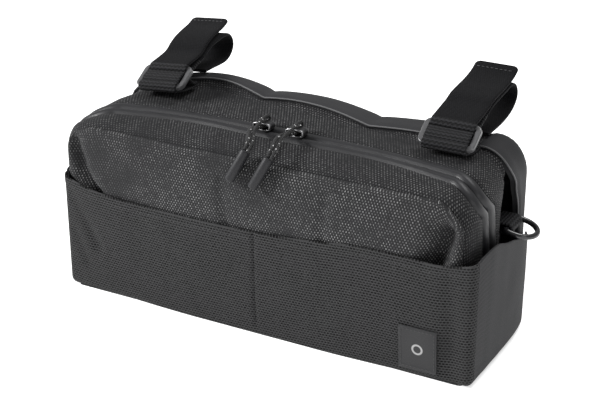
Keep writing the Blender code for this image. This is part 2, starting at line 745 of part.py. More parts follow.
def make_slider(name, x, mats):
    """A zip slider as a loop of plate on the zip, with a window for its cord."""
    q = x / (SHELL_HALF - CORNER)
    seat = shell(q, zip_slit(q), GAP)
    half_long, half_tall, plate = SLIDER_LONG / 2, SLIDER_TALL / 2, SLIDER_PLATE
    centre = seat + Vector((0, 0, half_tall))
    path = []
    for i in range(12):
        swing = 2 * pi * i / 12
        long_share = abs(cos(swing)) ** 0.6 * (1 if cos(swing) >= 0 else -1)
        tall_share = abs(sin(swing)) ** 0.6 * (1 if sin(swing) >= 0 else -1)
        reach = Vector(((half_long - plate / 2) * long_share, 0, (half_tall - plate / 2) * tall_share))
        path.append(centre + reach)
    across = Vector((0, 1, 0))
    sweep("slider_" + name, path, flat_section(SLIDER_WIDE, plate), across, mats["metal"], closed=True)
    return centre


def make_pull(name, x, top, foot, mats):
    """A slider, the doubled cord through it and the rubber tube on the cord's ends."""
    window = make_slider(name, x, mats)
    top, foot = (Vector((x_end, -HALF_DEPTH - ahead, HEIGHT + rise)) for x_end, ahead, rise in (top, foot))
    down = (foot - top).normalized()
    beside = Vector((1, 0, 0)) - down * down.x
    beside = beside.normalized() * (PULL_CORD * 0.58)
    lift = Vector((0, 0, 1))
    start = top - down * (2 * GAP)
    rise = start - down * 0.0035
    front = window + Vector((0, -SLIDER_WIDE / 2 - PULL_CORD, PULL_CORD * 0.25))
    back = window + Vector((0, SLIDER_WIDE / 2 + PULL_CORD * 0.9, PULL_CORD * 0.2))
    through = Vector((0, SLIDER_WIDE / 2, 0))
    above = lift * (SLIDER_TALL / 2 + PULL_CORD / 2 + 2 * GAP)
    over = (start + front + above) / 2 + lift * 0.0030
    near = [start - beside, rise - beside, over - beside, front]
    loop = [window - through, window + through, back, back + above * 0.8, window + above]
    far = [front + above + beside, over + beside, rise + beside, start + beside]
    tube("pull_cord_" + name, curve_through(near + loop + far, 3), PULL_CORD, mats["cord"], 1)

    sides, radius = 10, PULL_TUBE / 2
    rings = ((0.0, 0.62), (0.04, 0.90), (0.10, 1.0), (0.90, 1.0), (0.96, 0.90), (1.0, 0.60))
    turn = Vector((0, 0, -1)).rotation_difference(down).to_matrix()
    points = []
    for along, share in rings:
        for i in range(sides):
            swing = 2 * pi * i / sides
            ring = Vector((radius * share * cos(swing), radius * share * sin(swing), -along * PULL_TUBE_LONG))
            points.append(top + turn @ ring)
    faces = []
    for r in range(len(rings) - 1):
        low, high = r * sides, (r + 1) * sides
        faces += [(low + i, high + i, high + (i + 1) % sides, low + (i + 1) % sides) for i in range(sides)]
    faces += [tuple(range(sides)), tuple(reversed(range(len(points) - sides, len(points))))]
    face_outwards(build_object("pull_end_" + name, points, faces, mats["rubber"]))


def main():
    clear_scene()
    mats = make_materials()
    q_list = stations(7, 4, 5)
    make_base_panel(mats)
    make_front_panel(mats)
    make_top_bands(mats, q_list)
    make_gusset_back(mats, q_list)
    make_back_panel(mats)
    make_back_binding(mats)
    make_front_pocket(mats)
    make_side_pocket("pocket_left", -1, mats)
    make_side_pocket("pocket_right", 1, mats)
    make_label(mats)
    for name, side, roll, bar_share, over_zip, tilt, under, over in STRAP_SETS:
        bar = (HALF_DEPTH * bar_share, HEIGHT + over_zip)
        make_strap_set(name, side, roll, bar, radians(tilt), under, over, mats)
    make_ring("left", -1, mats)
    make_ring("right", 1, mats)
    for name, x, top, foot in PULLS:
        make_pull(name, x, top, foot, mats)


main()
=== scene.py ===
"""The looks of a bicycle handlebar bag: woven cloth, mesh pockets, a foam back, webbing and zip pulls.

Metres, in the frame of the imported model. The bag's front faces -Y and its floor is Z = 0.
"""
from math import cos, exp, hypot, pi, radians, sin, sqrt

import bpy
import numpy as np
from mathutils import Matrix, Vector, noise


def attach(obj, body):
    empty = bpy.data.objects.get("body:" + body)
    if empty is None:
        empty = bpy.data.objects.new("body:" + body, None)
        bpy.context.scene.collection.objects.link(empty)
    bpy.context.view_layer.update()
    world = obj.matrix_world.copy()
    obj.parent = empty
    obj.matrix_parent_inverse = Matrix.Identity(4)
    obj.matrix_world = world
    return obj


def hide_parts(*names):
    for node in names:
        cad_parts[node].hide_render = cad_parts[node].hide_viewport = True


# Sizes of the bag, as in the model
WIDTH = 0.250
DEPTH = 0.089
HEIGHT = 0.105
GAP = 0.0003
CLOTH = 0.0015
TAPE = 0.0012
MESH = 0.0012
BASE_WALL = 0.0020
PAD = 0.0060
BACK_FOAM = 0.0060
CORNER = 0.0170
SIDE_GAPE = 0.0048
SEAM_SETBACK = 0.0044
DOME = 0.0026
ZIP_SLIT = 0.0008
PLEAT = 0.0060
BACK_ROLL = 0.0100
INNER_ROLL = 0.0050
BACK_DIP = 0.0022
BINDING = 0.0018
POCKET_HEIGHT = 0.0620
POCKET_PUFF = 0.0022
POCKET_TURN = 0.0040
SIDE_PUFF = 0.0020
WEBBING = 0.0250
WEBBING_WALL = 0.0014
STRAP_WALL = 0.0018
STRAP_INSET = 0.0370
STRAP_REACH = 0.0570
BUCKLE_WIRE = 0.0030
BUCKLE_PITCH = 0.0134
RING_WIRE = 0.0030
RING_WIDTH = 0.0220
RING_REACH = 0.0170
RING_Y = 0.0155
RING_LIFT = 0.0055
RING_OUT = 0.0010
RING_REST = radians(12)
RING_TAB = 0.0150
SLIDER_LONG = 0.0110
SLIDER_WIDE = 0.0065
SLIDER_TALL = 0.0048
SLIDER_PLATE = 0.0011
PULL_CORD = 0.0021
PULL_TUBE = 0.0056
PULL_TUBE_LONG = 0.0190
LABEL_WIDE = 0.0210
LABEL_TALL = 0.0245
LABEL_WALL = 0.0008
LABEL_INSET = 0.0290
LABEL_Z = 0.0170

# Softness that the model's solids don't have: the left shoulder's bulge over its pocket, the
# radius of the pockets' bottom edge, and the front panel's edge, which is drawn in and rolled
# back beside a groove in the gusset.
LEFT_BULGE = 0.0068
FOOT_TURN = 0.0045
EDGE_SHRINK = 0.0013
EDGE_SHRINK_REACH = 0.0022
EDGE_ROLL = 0.0012
EDGE_ROLL_REACH = 0.0016
GROOVE_DEPTH = 0.0014
GROOVE_REACH = 0.0017
SEAM_REACH = 0.0009
OVER_POCKET = 0.0016
BACK_LIP = 0.0009
POCKET_SEAM = 0.0009
POCKET_SEAM_REACH = 0.0011
# Shapes of the small hard parts: the D-ring's inner corners and straight share, how square a
# slider is (1 is an oval), the pull cord's run into its tube and its arch up to the slider, and
# half the room between its two runs as a share of its thickness.
RING_BEND = 0.0020
RING_STRAIGHT = 0.3
SLIDER_SQUARE = 0.6
CORD_IN_TUBE = 0.0020
CORD_RISE = 0.0038
CORD_ARCH = 0.0030
CORD_SPREAD = 0.58
STRAP_END_RADIUS = 0.0025
STRAP_END_STITCH = 0.0045
LABEL_FRAME = 0.0012
# Points between two rows of a strap's table, and round a buckle's bar.
STRAP_STEPS = 8
WRAP_STEPS = 24
# The zip's seams are eased over this many stations each way.
ZIP_EASE = 0.16
EASE_STEPS = 3

FLOOR = BASE_WALL + GAP
HALF_DEPTH = DEPTH / 2
SHELL_HALF = WIDTH / 2 - MESH - SIDE_GAPE
FRONT_SEAM = -HALF_DEPTH + SEAM_SETBACK
STRAP_X = WIDTH / 2 - STRAP_INSET
LABEL_X = WIDTH / 2 - LABEL_INSET
RING_Z = POCKET_HEIGHT + RING_LIFT

# The shell from front to back: depth, half width and height as shares of
# HALF_DEPTH, SHELL_HALF and HEIGHT.
SHELL = (
    (-0.91, 0.985, 0.945),
    (-0.65, 1.000, 0.974),
    (-0.40, 1.000, 0.990),
    (-0.10, 1.000, 1.000),
    (0.25, 0.985, 1.001),
    (0.54, 0.967, 1.003),
    (1.00, 0.967, 1.003),
)
# Stations run round the shell: 0 is the middle of the top, 1 the start of a corner, 2 its end
# and 3 the foot of the side. Left is negative.
SAG = ((-1.0, 0.0), (-0.6, 0.012), (0.0, 0.0), (0.34, -0.020), (0.62, -0.018), (1.0, 0.0))
# The zip's front and back edge by station, as shares of HALF_DEPTH.
ZIP = (
    (0.0, -0.415, -0.095),
    (0.6, -0.405, -0.170),
    (0.9, -0.530, -0.250),
    (1.3, -0.650, -0.335),
    (1.7, -0.665, -0.350),
    (2.0, -0.540, -0.190),
    (2.2, -0.460, -0.075),
    (3.0, -0.404, 0.000),
)
# The side fold by station: its crease as a share of HALF_DEPTH, its depth as a share of PLEAT.
FOLD = (
    (0.0, 0.270, 0.0),
    (1.0, 0.170, 0.0),
    (1.5, 0.200, 0.0),
    (1.75, 0.230, 0.25),
    (2.0, 0.130, 0.80),
    (2.1, 0.060, 1.0),
    (2.3, 0.060, 1.0),
    (3.0, 0.100, 0.5),
)
# Front edge of the back panel by station, as a share of HALF_DEPTH.
BACK_EDGE = (
    (-3.0, 0.670), (-2.24, 0.640), (-2.03, 0.500), (-1.6, 0.380), (-1.0, 0.520),
    (-0.75, 0.650), (-0.59, 0.650), (-0.36, 0.550), (-0.13, 0.560), (0.14, 0.520),
    (0.34, 0.470), (0.60, 0.460), (0.95, 0.390), (1.6, 0.330), (2.03, 0.495),
    (2.14, 0.600), (2.24, 0.640), (3.0, 0.670),
)
# Padded channels of the back panel: first and last station, crest as a share of PAD.
CHANNELS = ((-1.0, -0.343, 1.0), (-0.343, 0.343, 0.78), (0.343, 1.0, 0.68))
SIDE_CREST = 0.70
SEAM_CREST = 0.32
# Front pocket rim: share of the half width, share of POCKET_HEIGHT.
RIM = (
    (-1.0, 1.105), (-0.976, 1.090), (-0.82, 1.015), (-0.48, 0.978), (-0.13, 0.975),
    (0.22, 1.015), (0.49, 1.080), (0.67, 1.085), (0.86, 1.068), (1.0, 1.120),
)
# Side pocket, front to back: depth as a share of HALF_DEPTH, rim height as a share of
# POCKET_HEIGHT, half width at the foot as a share of WIDTH / 2, puff as a share of SIDE_PUFF.
SIDE_RIM = (
    (-0.91, 1.120, 1.000, 0.0),
    (-0.76, 1.150, 1.000, 0.5),
    (-0.50, 1.165, 1.000, 1.0),
    (-0.20, 1.095, 1.000, 1.1),
    (0.07, 1.040, 1.000, 1.1),
    (0.20, 1.005, 0.999, 1.1),
    (0.43, 0.960, 0.996, 0.9),
    (0.69, 0.885, 0.985, 0.3),
    (0.92, 0.840, 0.957, 0.0),
)
# Dents and ridges: both ends as shares of SHELL_HALF and HEIGHT, half width as a share of
# HEIGHT, depth in metres (inwards is positive).
FRONT_DENTS = (
    (-0.940, 0.850, -0.850, 0.560, 0.036, 0.0060),
    (-0.870, 0.830, -0.780, 0.560, 0.060, -0.0010),
    (0.900, 0.770, 0.830, 0.540, 0.062, 0.0088),
    (0.965, 0.720, 0.920, 0.540, 0.036, -0.0026),
    (-0.170, 0.820, -0.150, 0.560, 0.030, 0.0011),
    (0.350, 0.840, 0.330, 0.580, 0.030, 0.0011),
)
POCKET_DENTS = (
    (-0.985, 0.520, -0.860, 0.280, 0.034, 0.0022),
    (-0.995, 0.350, -0.930, 0.160, 0.030, 0.0016),
    (0.940, 0.640, 0.965, 0.040, 0.045, 0.0034),
)
# Strap loops, from the sewn end to the buckle bar and from the bar to the free end: along Y
# and Z from the bar, as shares of STRAP_REACH.
STRAP_RIGHT_UNDER = (
    (0.300, -0.158), (0.430, -0.156), (0.590, -0.152), (0.745, -0.136), (0.885, -0.097),
    (0.972, -0.035), (0.992, 0.036), (0.955, 0.104), (0.885, 0.146), (0.800, 0.152),
    (0.690, 0.135), (0.535, 0.118), (0.395, 0.098), (0.285, 0.062), (0.140, 0.000),
)
STRAP_RIGHT_OVER = (
    (0.145, 0.078), (0.285, 0.108), (0.395, 0.143), (0.550, 0.164), (0.700, 0.180),
    (0.870, 0.216), (1.000, 0.274),
)
STRAP_LEFT_UNDER = (
    (0.320, -0.110), (0.450, -0.110), (0.600, -0.114), (0.720, -0.106), (0.805, -0.062),
    (0.850, 0.008), (0.838, 0.080), (0.780, 0.141), (0.710, 0.155), (0.620, 0.149),
    (0.480, 0.128), (0.358, 0.084), (0.255, 0.035), (0.130, -0.008),
)
STRAP_LEFT_OVER = (
    (0.132, 0.065), (0.270, 0.090), (0.375, 0.143), (0.480, 0.178), (0.620, 0.199),
    (0.800, 0.211), (0.956, 0.233),
)
# The zip pulls: x of the slider, then the top and the foot of the pull tube, in metres.
PULLS = (
    ("left", -0.0130, (-0.0052, -0.0434, 0.1056), (-0.0128, -0.0490, 0.0893)),
    ("right", 0.0070, (0.0090, -0.0442, 0.1044), (0.0010, -0.0494, 0.0874)),
)

# The camera stands at the photograph's angle.
CAMERA_AZIMUTH = radians(28.55)
CAMERA_ELEVATION = radians(24.0)
CAMERA_DISTANCE = 0.820
CAMERA_TARGET = Vector((0.0072, 0.0, 0.0632))
CAMERA_SENSOR = 36.0
CAMERA_LENS = 1500 * CAMERA_SENSOR / 615


def table(rows, at, column=1):
    """Reads a column of a table at a place between its rows, on a smooth curve."""
    if at <= rows[0][0]:
        return rows[0][column]
    for low in range(len(rows) - 1):
        if at <= rows[low + 1][0]:
            break
    else:
        return rows[-1][column]

    def slope(row):
        before, after = rows[max(row - 1, 0)], rows[min(row + 1, len(rows) - 1)]
        return (after[column] - before[column]) / (after[0] - before[0])

    span = rows[low + 1][0] - rows[low][0]
    t = (at - rows[low][0]) / span
    first = rows[low][column] * (2 * t**3 - 3 * t**2 + 1)
    second = rows[low + 1][column] * (3 * t**2 - 2 * t**3)
    bend = slope(low) * (t**3 - 2 * t**2 + t) + slope(low + 1) * (t**3 - t**2)
    return first + second + bend * span


def curve_through(points, steps):
    """A smooth run of points through the given ones, with that many steps between each two."""
    rows = [Vector(p) for p in points]
    found = []
    for low in range(len(rows) - 1):
        before, after = rows[max(low - 1, 0)], rows[min(low + 2, len(rows) - 1)]
        start, end = rows[low], rows[low + 1]
        for step in range(steps):
            t = step / steps
            found.append(0.5 * (2 * start + (end - before) * t
                                + (2 * before - 5 * start + 4 * end - after) * t**2
                                + (3 * start - before - 3 * end + after) * t**3))
    return found + [rows[-1]]


def spread(low, high, count):
    return [low + (high - low) * i / count for i in range(count + 1)]


def stations(top, arc, side):
    """Stations round the shell from the left foot to the right foot."""
    half = [i / top for i in range(top)]
    half += [1 + i / arc for i in range(arc)]
    half += [2 + i / side for i in range(side + 1)]
    return [-q for q in reversed(half[1:])] + half


def shell_half(y):
    return SHELL_HALF * table(SHELL, y / HALF_DEPTH, 1)


def shell_top(q, y):
    behind_zip = min(max(y / (0.45 * HALF_DEPTH), 0), 1)
    return HEIGHT * (table(SHELL, y / HALF_DEPTH, 2) + table(SAG, q) * behind_zip)


def smooth(value, start, end):
    """0 at start and 1 at end, smooth between."""
    t = min(max((value - start) / (end - start), 0), 1)
    return t * t * (3 - 2 * t)


def left_bulge(z, y):
    """How far the left side stands out at a height and depth."""
    return LEFT_BULGE * smooth(z, 0.062, 0.070) * smooth(z, 0.112, 0.094) * smooth(y, 0.012, -0.020)


def shell(q, y, out=0.0):
    """The point of the main shell at a station and depth, moved outwards by out."""
    side, q_abs = (1 if q >= 0 else -1), abs(q)
    half, top = shell_half(y), shell_top(q, y)
    if q_abs <= 1:
        x, z, along, up = q_abs * (half - CORNER), top, 0, 1
    elif q_abs <= 2:
        along, up = sin((q_abs - 1) * pi / 2), cos((q_abs - 1) * pi / 2)
        x, z = half - CORNER + CORNER * along, top - CORNER + CORNER * up
    else:
        x, z, along, up = half, top - CORNER - (q_abs - 2) * (top - CORNER - FLOOR), 1, 0
    if q < -1:
        x += left_bulge(z, y) * along
    return Vector((side * (x + along * out), y, z + up * out))


def zip_line(q, column):
    """A seam of the zip with the corners of its table eased."""
    shifts = [ZIP_EASE * k / EASE_STEPS for k in range(-EASE_STEPS, EASE_STEPS + 1)]
    return HALF_DEPTH * sum(table(ZIP, abs(q + shift), column) for shift in shifts) / len(shifts)


def zip_front(q):
    return zip_line(q, 1)


def zip_back(q):
    return zip_line(q, 2)


def zip_slit(q):
    return (zip_front(q) + zip_back(q)) / 2


def back_edge(q):
    return HALF_DEPTH * table(BACK_EDGE, q)


def pad(q):
    """Thickness of the back panel's foam at a station."""
    for first, last, crest in CHANNELS:
        if first <= q <= last:
            share = sin(pi * (q - first) / (last - first)) ** 0.7 if first < q < last else 0
            return PAD * (SEAM_CREST + (crest - SEAM_CREST) * share)
    share = sin(pi / 2 * min((abs(q) - 1) / 0.5, 1)) ** 0.7
    return PAD * (SEAM_CREST + (SIDE_CREST - SEAM_CREST) * share)


def dent(x, z, dents):
    """Depth of all the dents at a place."""
    total = 0
    for x0, z0, x1, z1, width, depth in dents:
        ax, az, bx, bz = x0 * SHELL_HALF, z0 * HEIGHT, x1 * SHELL_HALF, z1 * HEIGHT
        t = ((x - ax) * (bx - ax) + (z - az) * (bz - az)) / ((bx - ax) ** 2 + (bz - az) ** 2)
        t = min(max(t, 0), 1)
        off = hypot(x - ax - t * (bx - ax), z - az - t * (bz - az)) / (width * HEIGHT)
        total += depth * exp(-off * off)
    return total


def rumple(x, y, z, size, height):
    """A soft unevenness of cloth, size across and height deep."""
    return height * noise.noise(Vector((x / size, y / size, z / size)))


def rounded_corner(x, z, half, top, radius):
    """Moves a point of a rectangle's top corner blocks onto rounded corners."""
    u = (abs(x) - (half - radius)) / radius
    v = (z - (top - radius)) / radius
    if u <= 0 or v <= 0:
        return x, z
    side = 1 if x > 0 else -1
    return (side * (half - radius + radius * u * sqrt(1 - v * v / 2)),
            top - radius + radius * v * sqrt(1 - u * u / 2))


def back_outer(q, swing):
    """Outer side of the back panel round its edge: swing runs from 0 on the back face to 90 degrees."""
    flat = HALF_DEPTH - BACK_DIP * (1 - (pad(q) / PAD - SEAM_CREST) / (1 - SEAM_CREST))
    y = flat - BACK_ROLL * (1 - cos(swing))
    return shell(q, y, GAP + pad(q) - BACK_ROLL * (1 - sin(swing)))


def back_inner(q, swing):
    y = HALF_DEPTH - BACK_FOAM - INNER_ROLL * (1 - cos(swing))
    return shell(q, y, GAP - INNER_ROLL * (1 - sin(swing)))


def back_side_x(y):
    """Half width over the back panel's side at a depth."""
    flat = HALF_DEPTH - BACK_DIP * (1 - (SIDE_CREST - SEAM_CREST) / (1 - SEAM_CREST))
    start = flat - BACK_ROLL
    full = shell_half(y) + GAP + PAD * SIDE_CREST
    if y <= start:
        return full
    return full - BACK_ROLL + sqrt(max(BACK_ROLL**2 - (y - start) ** 2, 0))


def side_pocket_foot(y):
    """Half width over the side pocket's foot at a depth."""
    return max(WIDTH / 2 * table(SIDE_RIM, y / HALF_DEPTH, 2), back_side_x(y) + GAP + MESH)


# Materials


def tint(colour, share):
    """A colour made darker or lighter."""
    return tuple(c * share for c in colour)


class Shader:
    """A node material under construction, with a Principled shader and short calls for its nodes."""

    def __init__(self, name, roughness, metallic=0.0, sheen=0.0, specular=0.5, coat=0.0):
        self.material = bpy.data.materials.new(name)
        self.material.use_nodes = True
        self.tree = self.material.node_tree
        self.surface = self.tree.nodes["Principled BSDF"]
        self.surface.inputs["Roughness"].default_value = roughness
        self.surface.inputs["Metallic"].default_value = metallic
        self.surface.inputs["Sheen Weight"].default_value = sheen
        self.surface.inputs["Specular IOR Level"].default_value = specular
        self.surface.inputs["Coat Weight"].default_value = coat

    def node(self, kind, **values):
        made = self.tree.nodes.new(kind)
        for key, value in values.items():
            setattr(made, key, value)
        return made

    def put(self, socket, value):
        if isinstance(value, bpy.types.NodeSocket):
            self.tree.links.new(value, socket)
        elif isinstance(value, tuple) and socket.type == "RGBA":
            socket.default_value = (*value, 1.0)
        else:
            socket.default_value = value

    def math(self, operation, first, second=0.0):
        made = self.node("ShaderNodeMath", operation=operation)
        self.put(made.inputs[0], first)
        self.put(made.inputs[1], second)
        return made.outputs[0]

    def times(self, first, second):
        return self.math("MULTIPLY", first, second)

    def plus(self, first, second):
        return self.math("ADD", first, second)

    def minus(self, first, second):
        return self.math("SUBTRACT", first, second)

    def step(self, value, start, end):
        """0 at start and 1 at end, smooth between."""
        made = self.node("ShaderNodeMapRange", interpolation_type="SMOOTHSTEP")
        for key, number in (("Value", value), ("From Min", start), ("From Max", end)):
            self.put(made.inputs[key], number)
        return made.outputs[0]

    def mix(self, share, first, second):
        made = self.node("ShaderNodeMix", data_type="RGBA")
        self.put(made.inputs[0], share)
        self.put(made.inputs[6], first)
        self.put(made.inputs[7], second)
        return made.outputs[2]

    def cloth_place(self):
        """Across and along the cloth, in metres."""
        place = self.node("ShaderNodeAttribute", attribute_name="cloth")
        parts = self.node("ShaderNodeSeparateXYZ")
        self.put(parts.inputs[0], place.outputs["Vector"])
        return parts.outputs[0], parts.outputs[1]

    def noise(self, size, detail=2.0, stretch=(1.0, 1.0, 1.0)):
        """Noise over the object's own space, size across."""
        place = self.node("ShaderNodeTexCoord")
        scaled = self.node("ShaderNodeVectorMath", operation="MULTIPLY")
        self.put(scaled.inputs[0], place.outputs["Object"])
        scaled.inputs[1].default_value = stretch
        made = self.node("ShaderNodeTexNoise")
        self.put(made.inputs["Vector"], scaled.outputs[0])
        made.inputs["Scale"].default_value = 1 / size
        made.inputs["Detail"].default_value = detail
        return made.outputs[0]

    def lattice(self, wide, tall, shift):
        """A brick lattice on the cloth: place in the cell from -0.5 to 0.5 both ways, and a chance."""
        across, along = self.cloth_place()
        up = self.math("DIVIDE", along, tall)
        row = self.math("FLOOR", up)
        over = self.plus(self.math("DIVIDE", across, wide), self.times(row, shift))
        cell = self.node("ShaderNodeCombineXYZ")
        self.put(cell.inputs[0], self.math("FLOOR", over))
        self.put(cell.inputs[1], row)
        chance = self.node("ShaderNodeTexWhiteNoise", noise_dimensions="2D")
        self.put(chance.inputs["Vector"], cell.outputs[0])
        in_x = self.minus(self.math("FRACT", over), 0.5)
        in_y = self.minus(self.math("FRACT", up), 0.5)
        return in_x, in_y, chance.outputs["Value"]

    def spot(self, in_x, in_y, half_x, half_y, soft=0.5):
        """1 inside an oval in the cell, falling to 0 outside it."""
        x = self.math("POWER", self.math("DIVIDE", in_x, half_x), 2.0)
        y = self.math("POWER", self.math("DIVIDE", in_y, half_y), 2.0)
        return self.step(self.plus(x, y), 1.0 + soft, 1.0 - soft)

    def wave(self, value, pitch):
        """A sine from -1 to 1 over a length with that pitch."""
        return self.math("SINE", self.times(value, 2 * pi / pitch))

    def finish(self, colour, height=None, depth=0.0002, roughness=None):
        self.put(self.surface.inputs["Base Color"], colour)
        if roughness is not None:
            self.put(self.surface.inputs["Roughness"], roughness)
        if height is not None:
            bump = self.node("ShaderNodeBump")
            bump.inputs["Distance"].default_value = depth
            bump.inputs["Strength"].default_value = 1.0
            self.put(bump.inputs["Height"], height)
            self.put(self.surface.inputs["Normal"], bump.outputs[0])
        return self.material


def dobby_weave(name, ground, dot, wide=0.0017, tall=0.00142, shift=0.42):
    """Woven cloth with light floats in slanting rows on a dark twill ground."""
    s = Shader(name, 0.72, sheen=0.02, specular=0.16)
    in_x, in_y, chance = s.lattice(wide, tall, shift)
    light = s.spot(in_x, in_y, 0.19, 0.32)
    across, along = s.cloth_place()
    twill = s.wave(s.plus(across, along), 0.00052)
    patch = s.noise(0.030, 2.0)
    grounded = s.mix(s.times(s.plus(twill, 1.0), 0.35), ground,
                     tint(ground, 1.7))
    strength = s.times(light, s.plus(s.times(chance, 0.80), 0.20))
    strength = s.times(strength, s.step(patch, 0.20, 0.62))
    colour = s.mix(strength, grounded, dot)
    height = s.plus(light, s.times(twill, 0.20))
    return s.finish(colour, height, 0.00022)


def stretch_mesh(name, ground, hole, wide=0.00185, tall=0.00150):
    """Knitted mesh with rows of small dark holes between fine light ribs."""
    s = Shader(name, 0.80, sheen=0.02, specular=0.14)
    in_x, in_y, chance = s.lattice(wide, tall, 0.5)
    pit = s.spot(in_x, in_y, 0.40, 0.30, 0.35)
    across, _ = s.cloth_place()
    rib = s.wave(across, 0.00064)
    patch = s.noise(0.012, 3.0)
    grounded = s.mix(s.times(s.plus(rib, 1.0), 0.25), ground, tint(ground, 1.6))
    grounded = s.mix(s.times(patch, 0.5), grounded, tint(ground, 0.7))
    strength = s.times(pit, s.plus(s.times(chance, 0.3), 0.7))
    colour = s.mix(strength, grounded, hole)
    height = s.minus(s.times(rib, 0.15), pit)
    return s.finish(colour, height, 0.00045)


def fine_twill(name, ground, pitch=0.00105):
    """Side pocket cloth: fine slanting ribs."""
    s = Shader(name, 0.75, sheen=0.05, specular=0.18)
    across, along = s.cloth_place()
    slant = s.plus(across, s.times(along, 0.55))
    rib = s.wave(slant, pitch)
    thread = s.wave(along, 0.00058)
    share = s.times(s.plus(rib, 1.0), 0.5)
    colour = s.mix(share, tint(ground, 0.62), tint(ground, 1.35))
    colour = s.mix(s.times(s.noise(0.010, 3.0), 0.45), colour, tint(ground, 0.7))
    height = s.plus(s.times(rib, 0.6), s.times(thread, 0.25))
    return s.finish(colour, height, 0.00018)


def coated_tape(name, colour):
    """Coated zip tape: satin, with a faint grain."""
    s = Shader(name, 0.50, specular=0.25, coat=0.04)
    grain = s.noise(0.0006, 2.0)
    cloud = s.noise(0.012, 3.0)
    shade = s.mix(s.times(cloud, 0.7), tint(colour, 0.75), tint(colour, 1.25))
    rough = s.plus(s.times(grain, 0.25), 0.30)
    return s.finish(shade, grain, 0.00006, rough)


def matt_panel(name, colour):
    """Smooth matt cloth laminated to foam."""
    s = Shader(name, 0.66, sheen=0.03, specular=0.20)
    across, along = s.cloth_place()
    fine = s.times(s.wave(across, 0.0006), s.wave(along, 0.0006))
    grain = s.noise(0.0009, 2.0)
    cloud = s.noise(0.025, 3.0)
    shade = s.mix(s.times(cloud, 0.7), tint(colour, 0.78), tint(colour, 1.22))
    height = s.plus(s.times(fine, 0.35), grain)
    return s.finish(shade, height, 0.00005)


def ribbed_webbing(name, colour, pitch=0.0018):
    """Heavy woven webbing: wavy ribs across its width."""
    s = Shader(name, 0.66, sheen=0.02, specular=0.16)
    across, along = s.cloth_place()
    sway = s.times(s.wave(across, 0.0026), 0.00022)
    rib = s.wave(s.plus(along, sway), pitch)
    thread = s.wave(across, 0.0007)
    share = s.times(s.plus(rib, 1.0), 0.5)
    shade = s.mix(share, tint(colour, 0.35), tint(colour, 2.2))
    height = s.plus(rib, s.times(thread, 0.25))
    return s.finish(shade, height, 0.00028)


def loop_strap(name, colour):
    """Hook-and-loop strap: short dark pile in fine rows."""
    s = Shader(name, 0.85, sheen=0.03, specular=0.10)
    in_x, in_y, chance = s.lattice(0.0011, 0.0012, 0.5)
    tuft = s.spot(in_x, in_y, 0.34, 0.34)
    grain = s.noise(0.0008, 3.0)
    share = s.times(tuft, s.plus(s.times(chance, 0.7), 0.3))
    shade = s.mix(share, tint(colour, 0.55), tint(colour, 1.9))
    height = s.plus(s.times(tuft, 0.7), s.times(grain, 0.8))
    return s.finish(shade, height, 0.00025)


def moulded(name, colour, roughness=0.28):
    """Moulded black plastic, slightly uneven, with a painted highlight where it is proud."""
    s = Shader(name, roughness, specular=0.55, coat=0.15)
    grain = s.noise(0.0022, 3.0)
    geometry = s.node("ShaderNodeNewGeometry")
    # Painted highlight: proud edges, found by pointiness, are made lighter.
    edge = s.step(geometry.outputs["Pointiness"], 0.52, 0.62)
    shade = s.mix(edge, colour, tuple(min(c * 2.6 + 0.02, 1) for c in colour))
    rough = s.plus(s.times(grain, 0.16), roughness - 0.06)
    return s.finish(shade, grain, 0.00004, rough)


def fleck_cord(name, colour, fleck):
    """Braided cord: slanting strands, a few of them light."""
    s = Shader(name, 0.68, sheen=0.10, specular=0.35)
    in_x, in_y, chance = s.lattice(0.00082, 0.00105, 0.5)
    strand = s.spot(in_x, in_y, 0.42, 0.40)
    lit = s.times(strand, s.math("GREATER_THAN", chance, 0.92))
    shade = s.mix(strand, tint(colour, 0.3), colour)
    shade = s.mix(lit, shade, fleck)
    return s.finish(shade, strand, 0.00022)


def pull_rubber(name, colour):
    """Matt moulded rubber."""
    s = Shader(name, 0.50, specular=0.30)
    grain = s.noise(0.0012, 3.0)
    shade = s.mix(grain, tint(colour, 0.8), tint(colour, 1.25))
    rough = s.plus(s.times(grain, 0.20), 0.38)
    return s.finish(shade, grain, 0.00005, rough)


def dark_metal(name, colour):
    """Black-plated zip slider, lighter metal on its proud edges, found by pointiness."""
    s = Shader(name, 0.34, metallic=0.9)
    grain = s.noise(0.0015, 3.0)
    geometry = s.node("ShaderNodeNewGeometry")
    edge = s.step(geometry.outputs["Pointiness"], 0.52, 0.60)
    shade = s.mix(edge, colour, (0.55, 0.55, 0.56))
    rough = s.plus(s.times(grain, 0.25), 0.22)
    return s.finish(shade, grain, 0.00003, rough)


def label_cloth(name, ground, mark):
    """Woven label: satin rows and a plain ring."""
    s = Shader(name, 0.55, sheen=0.10, specular=0.40)
    across, along = s.cloth_place()
    rows = s.wave(along, 0.00046)
    grain = s.noise(0.0012, 2.0)
    shade = s.mix(s.times(s.plus(rows, 1.0), 0.35), ground, tint(ground, 1.8))
    distance = s.math("SQRT", s.plus(s.math("POWER", across, 2.0), s.math("POWER", along, 2.0)))
    off = s.math("ABSOLUTE", s.minus(distance, 0.0026))
    ring = s.step(off, 0.00065, 0.00040)
    shade = s.mix(s.times(ring, 0.8), shade, mark)
    height = s.plus(s.times(rows, 0.4), s.times(grain, 0.4))
    return s.finish(shade, s.plus(height, ring), 0.00010)


def thread(name, colour):
    s = Shader(name, 0.6, sheen=0.1, specular=0.4)
    grain = s.noise(0.0006, 2.0)
    shade = s.mix(grain, tint(colour, 0.7), tint(colour, 1.3))
    return s.finish(shade, grain, 0.00006)


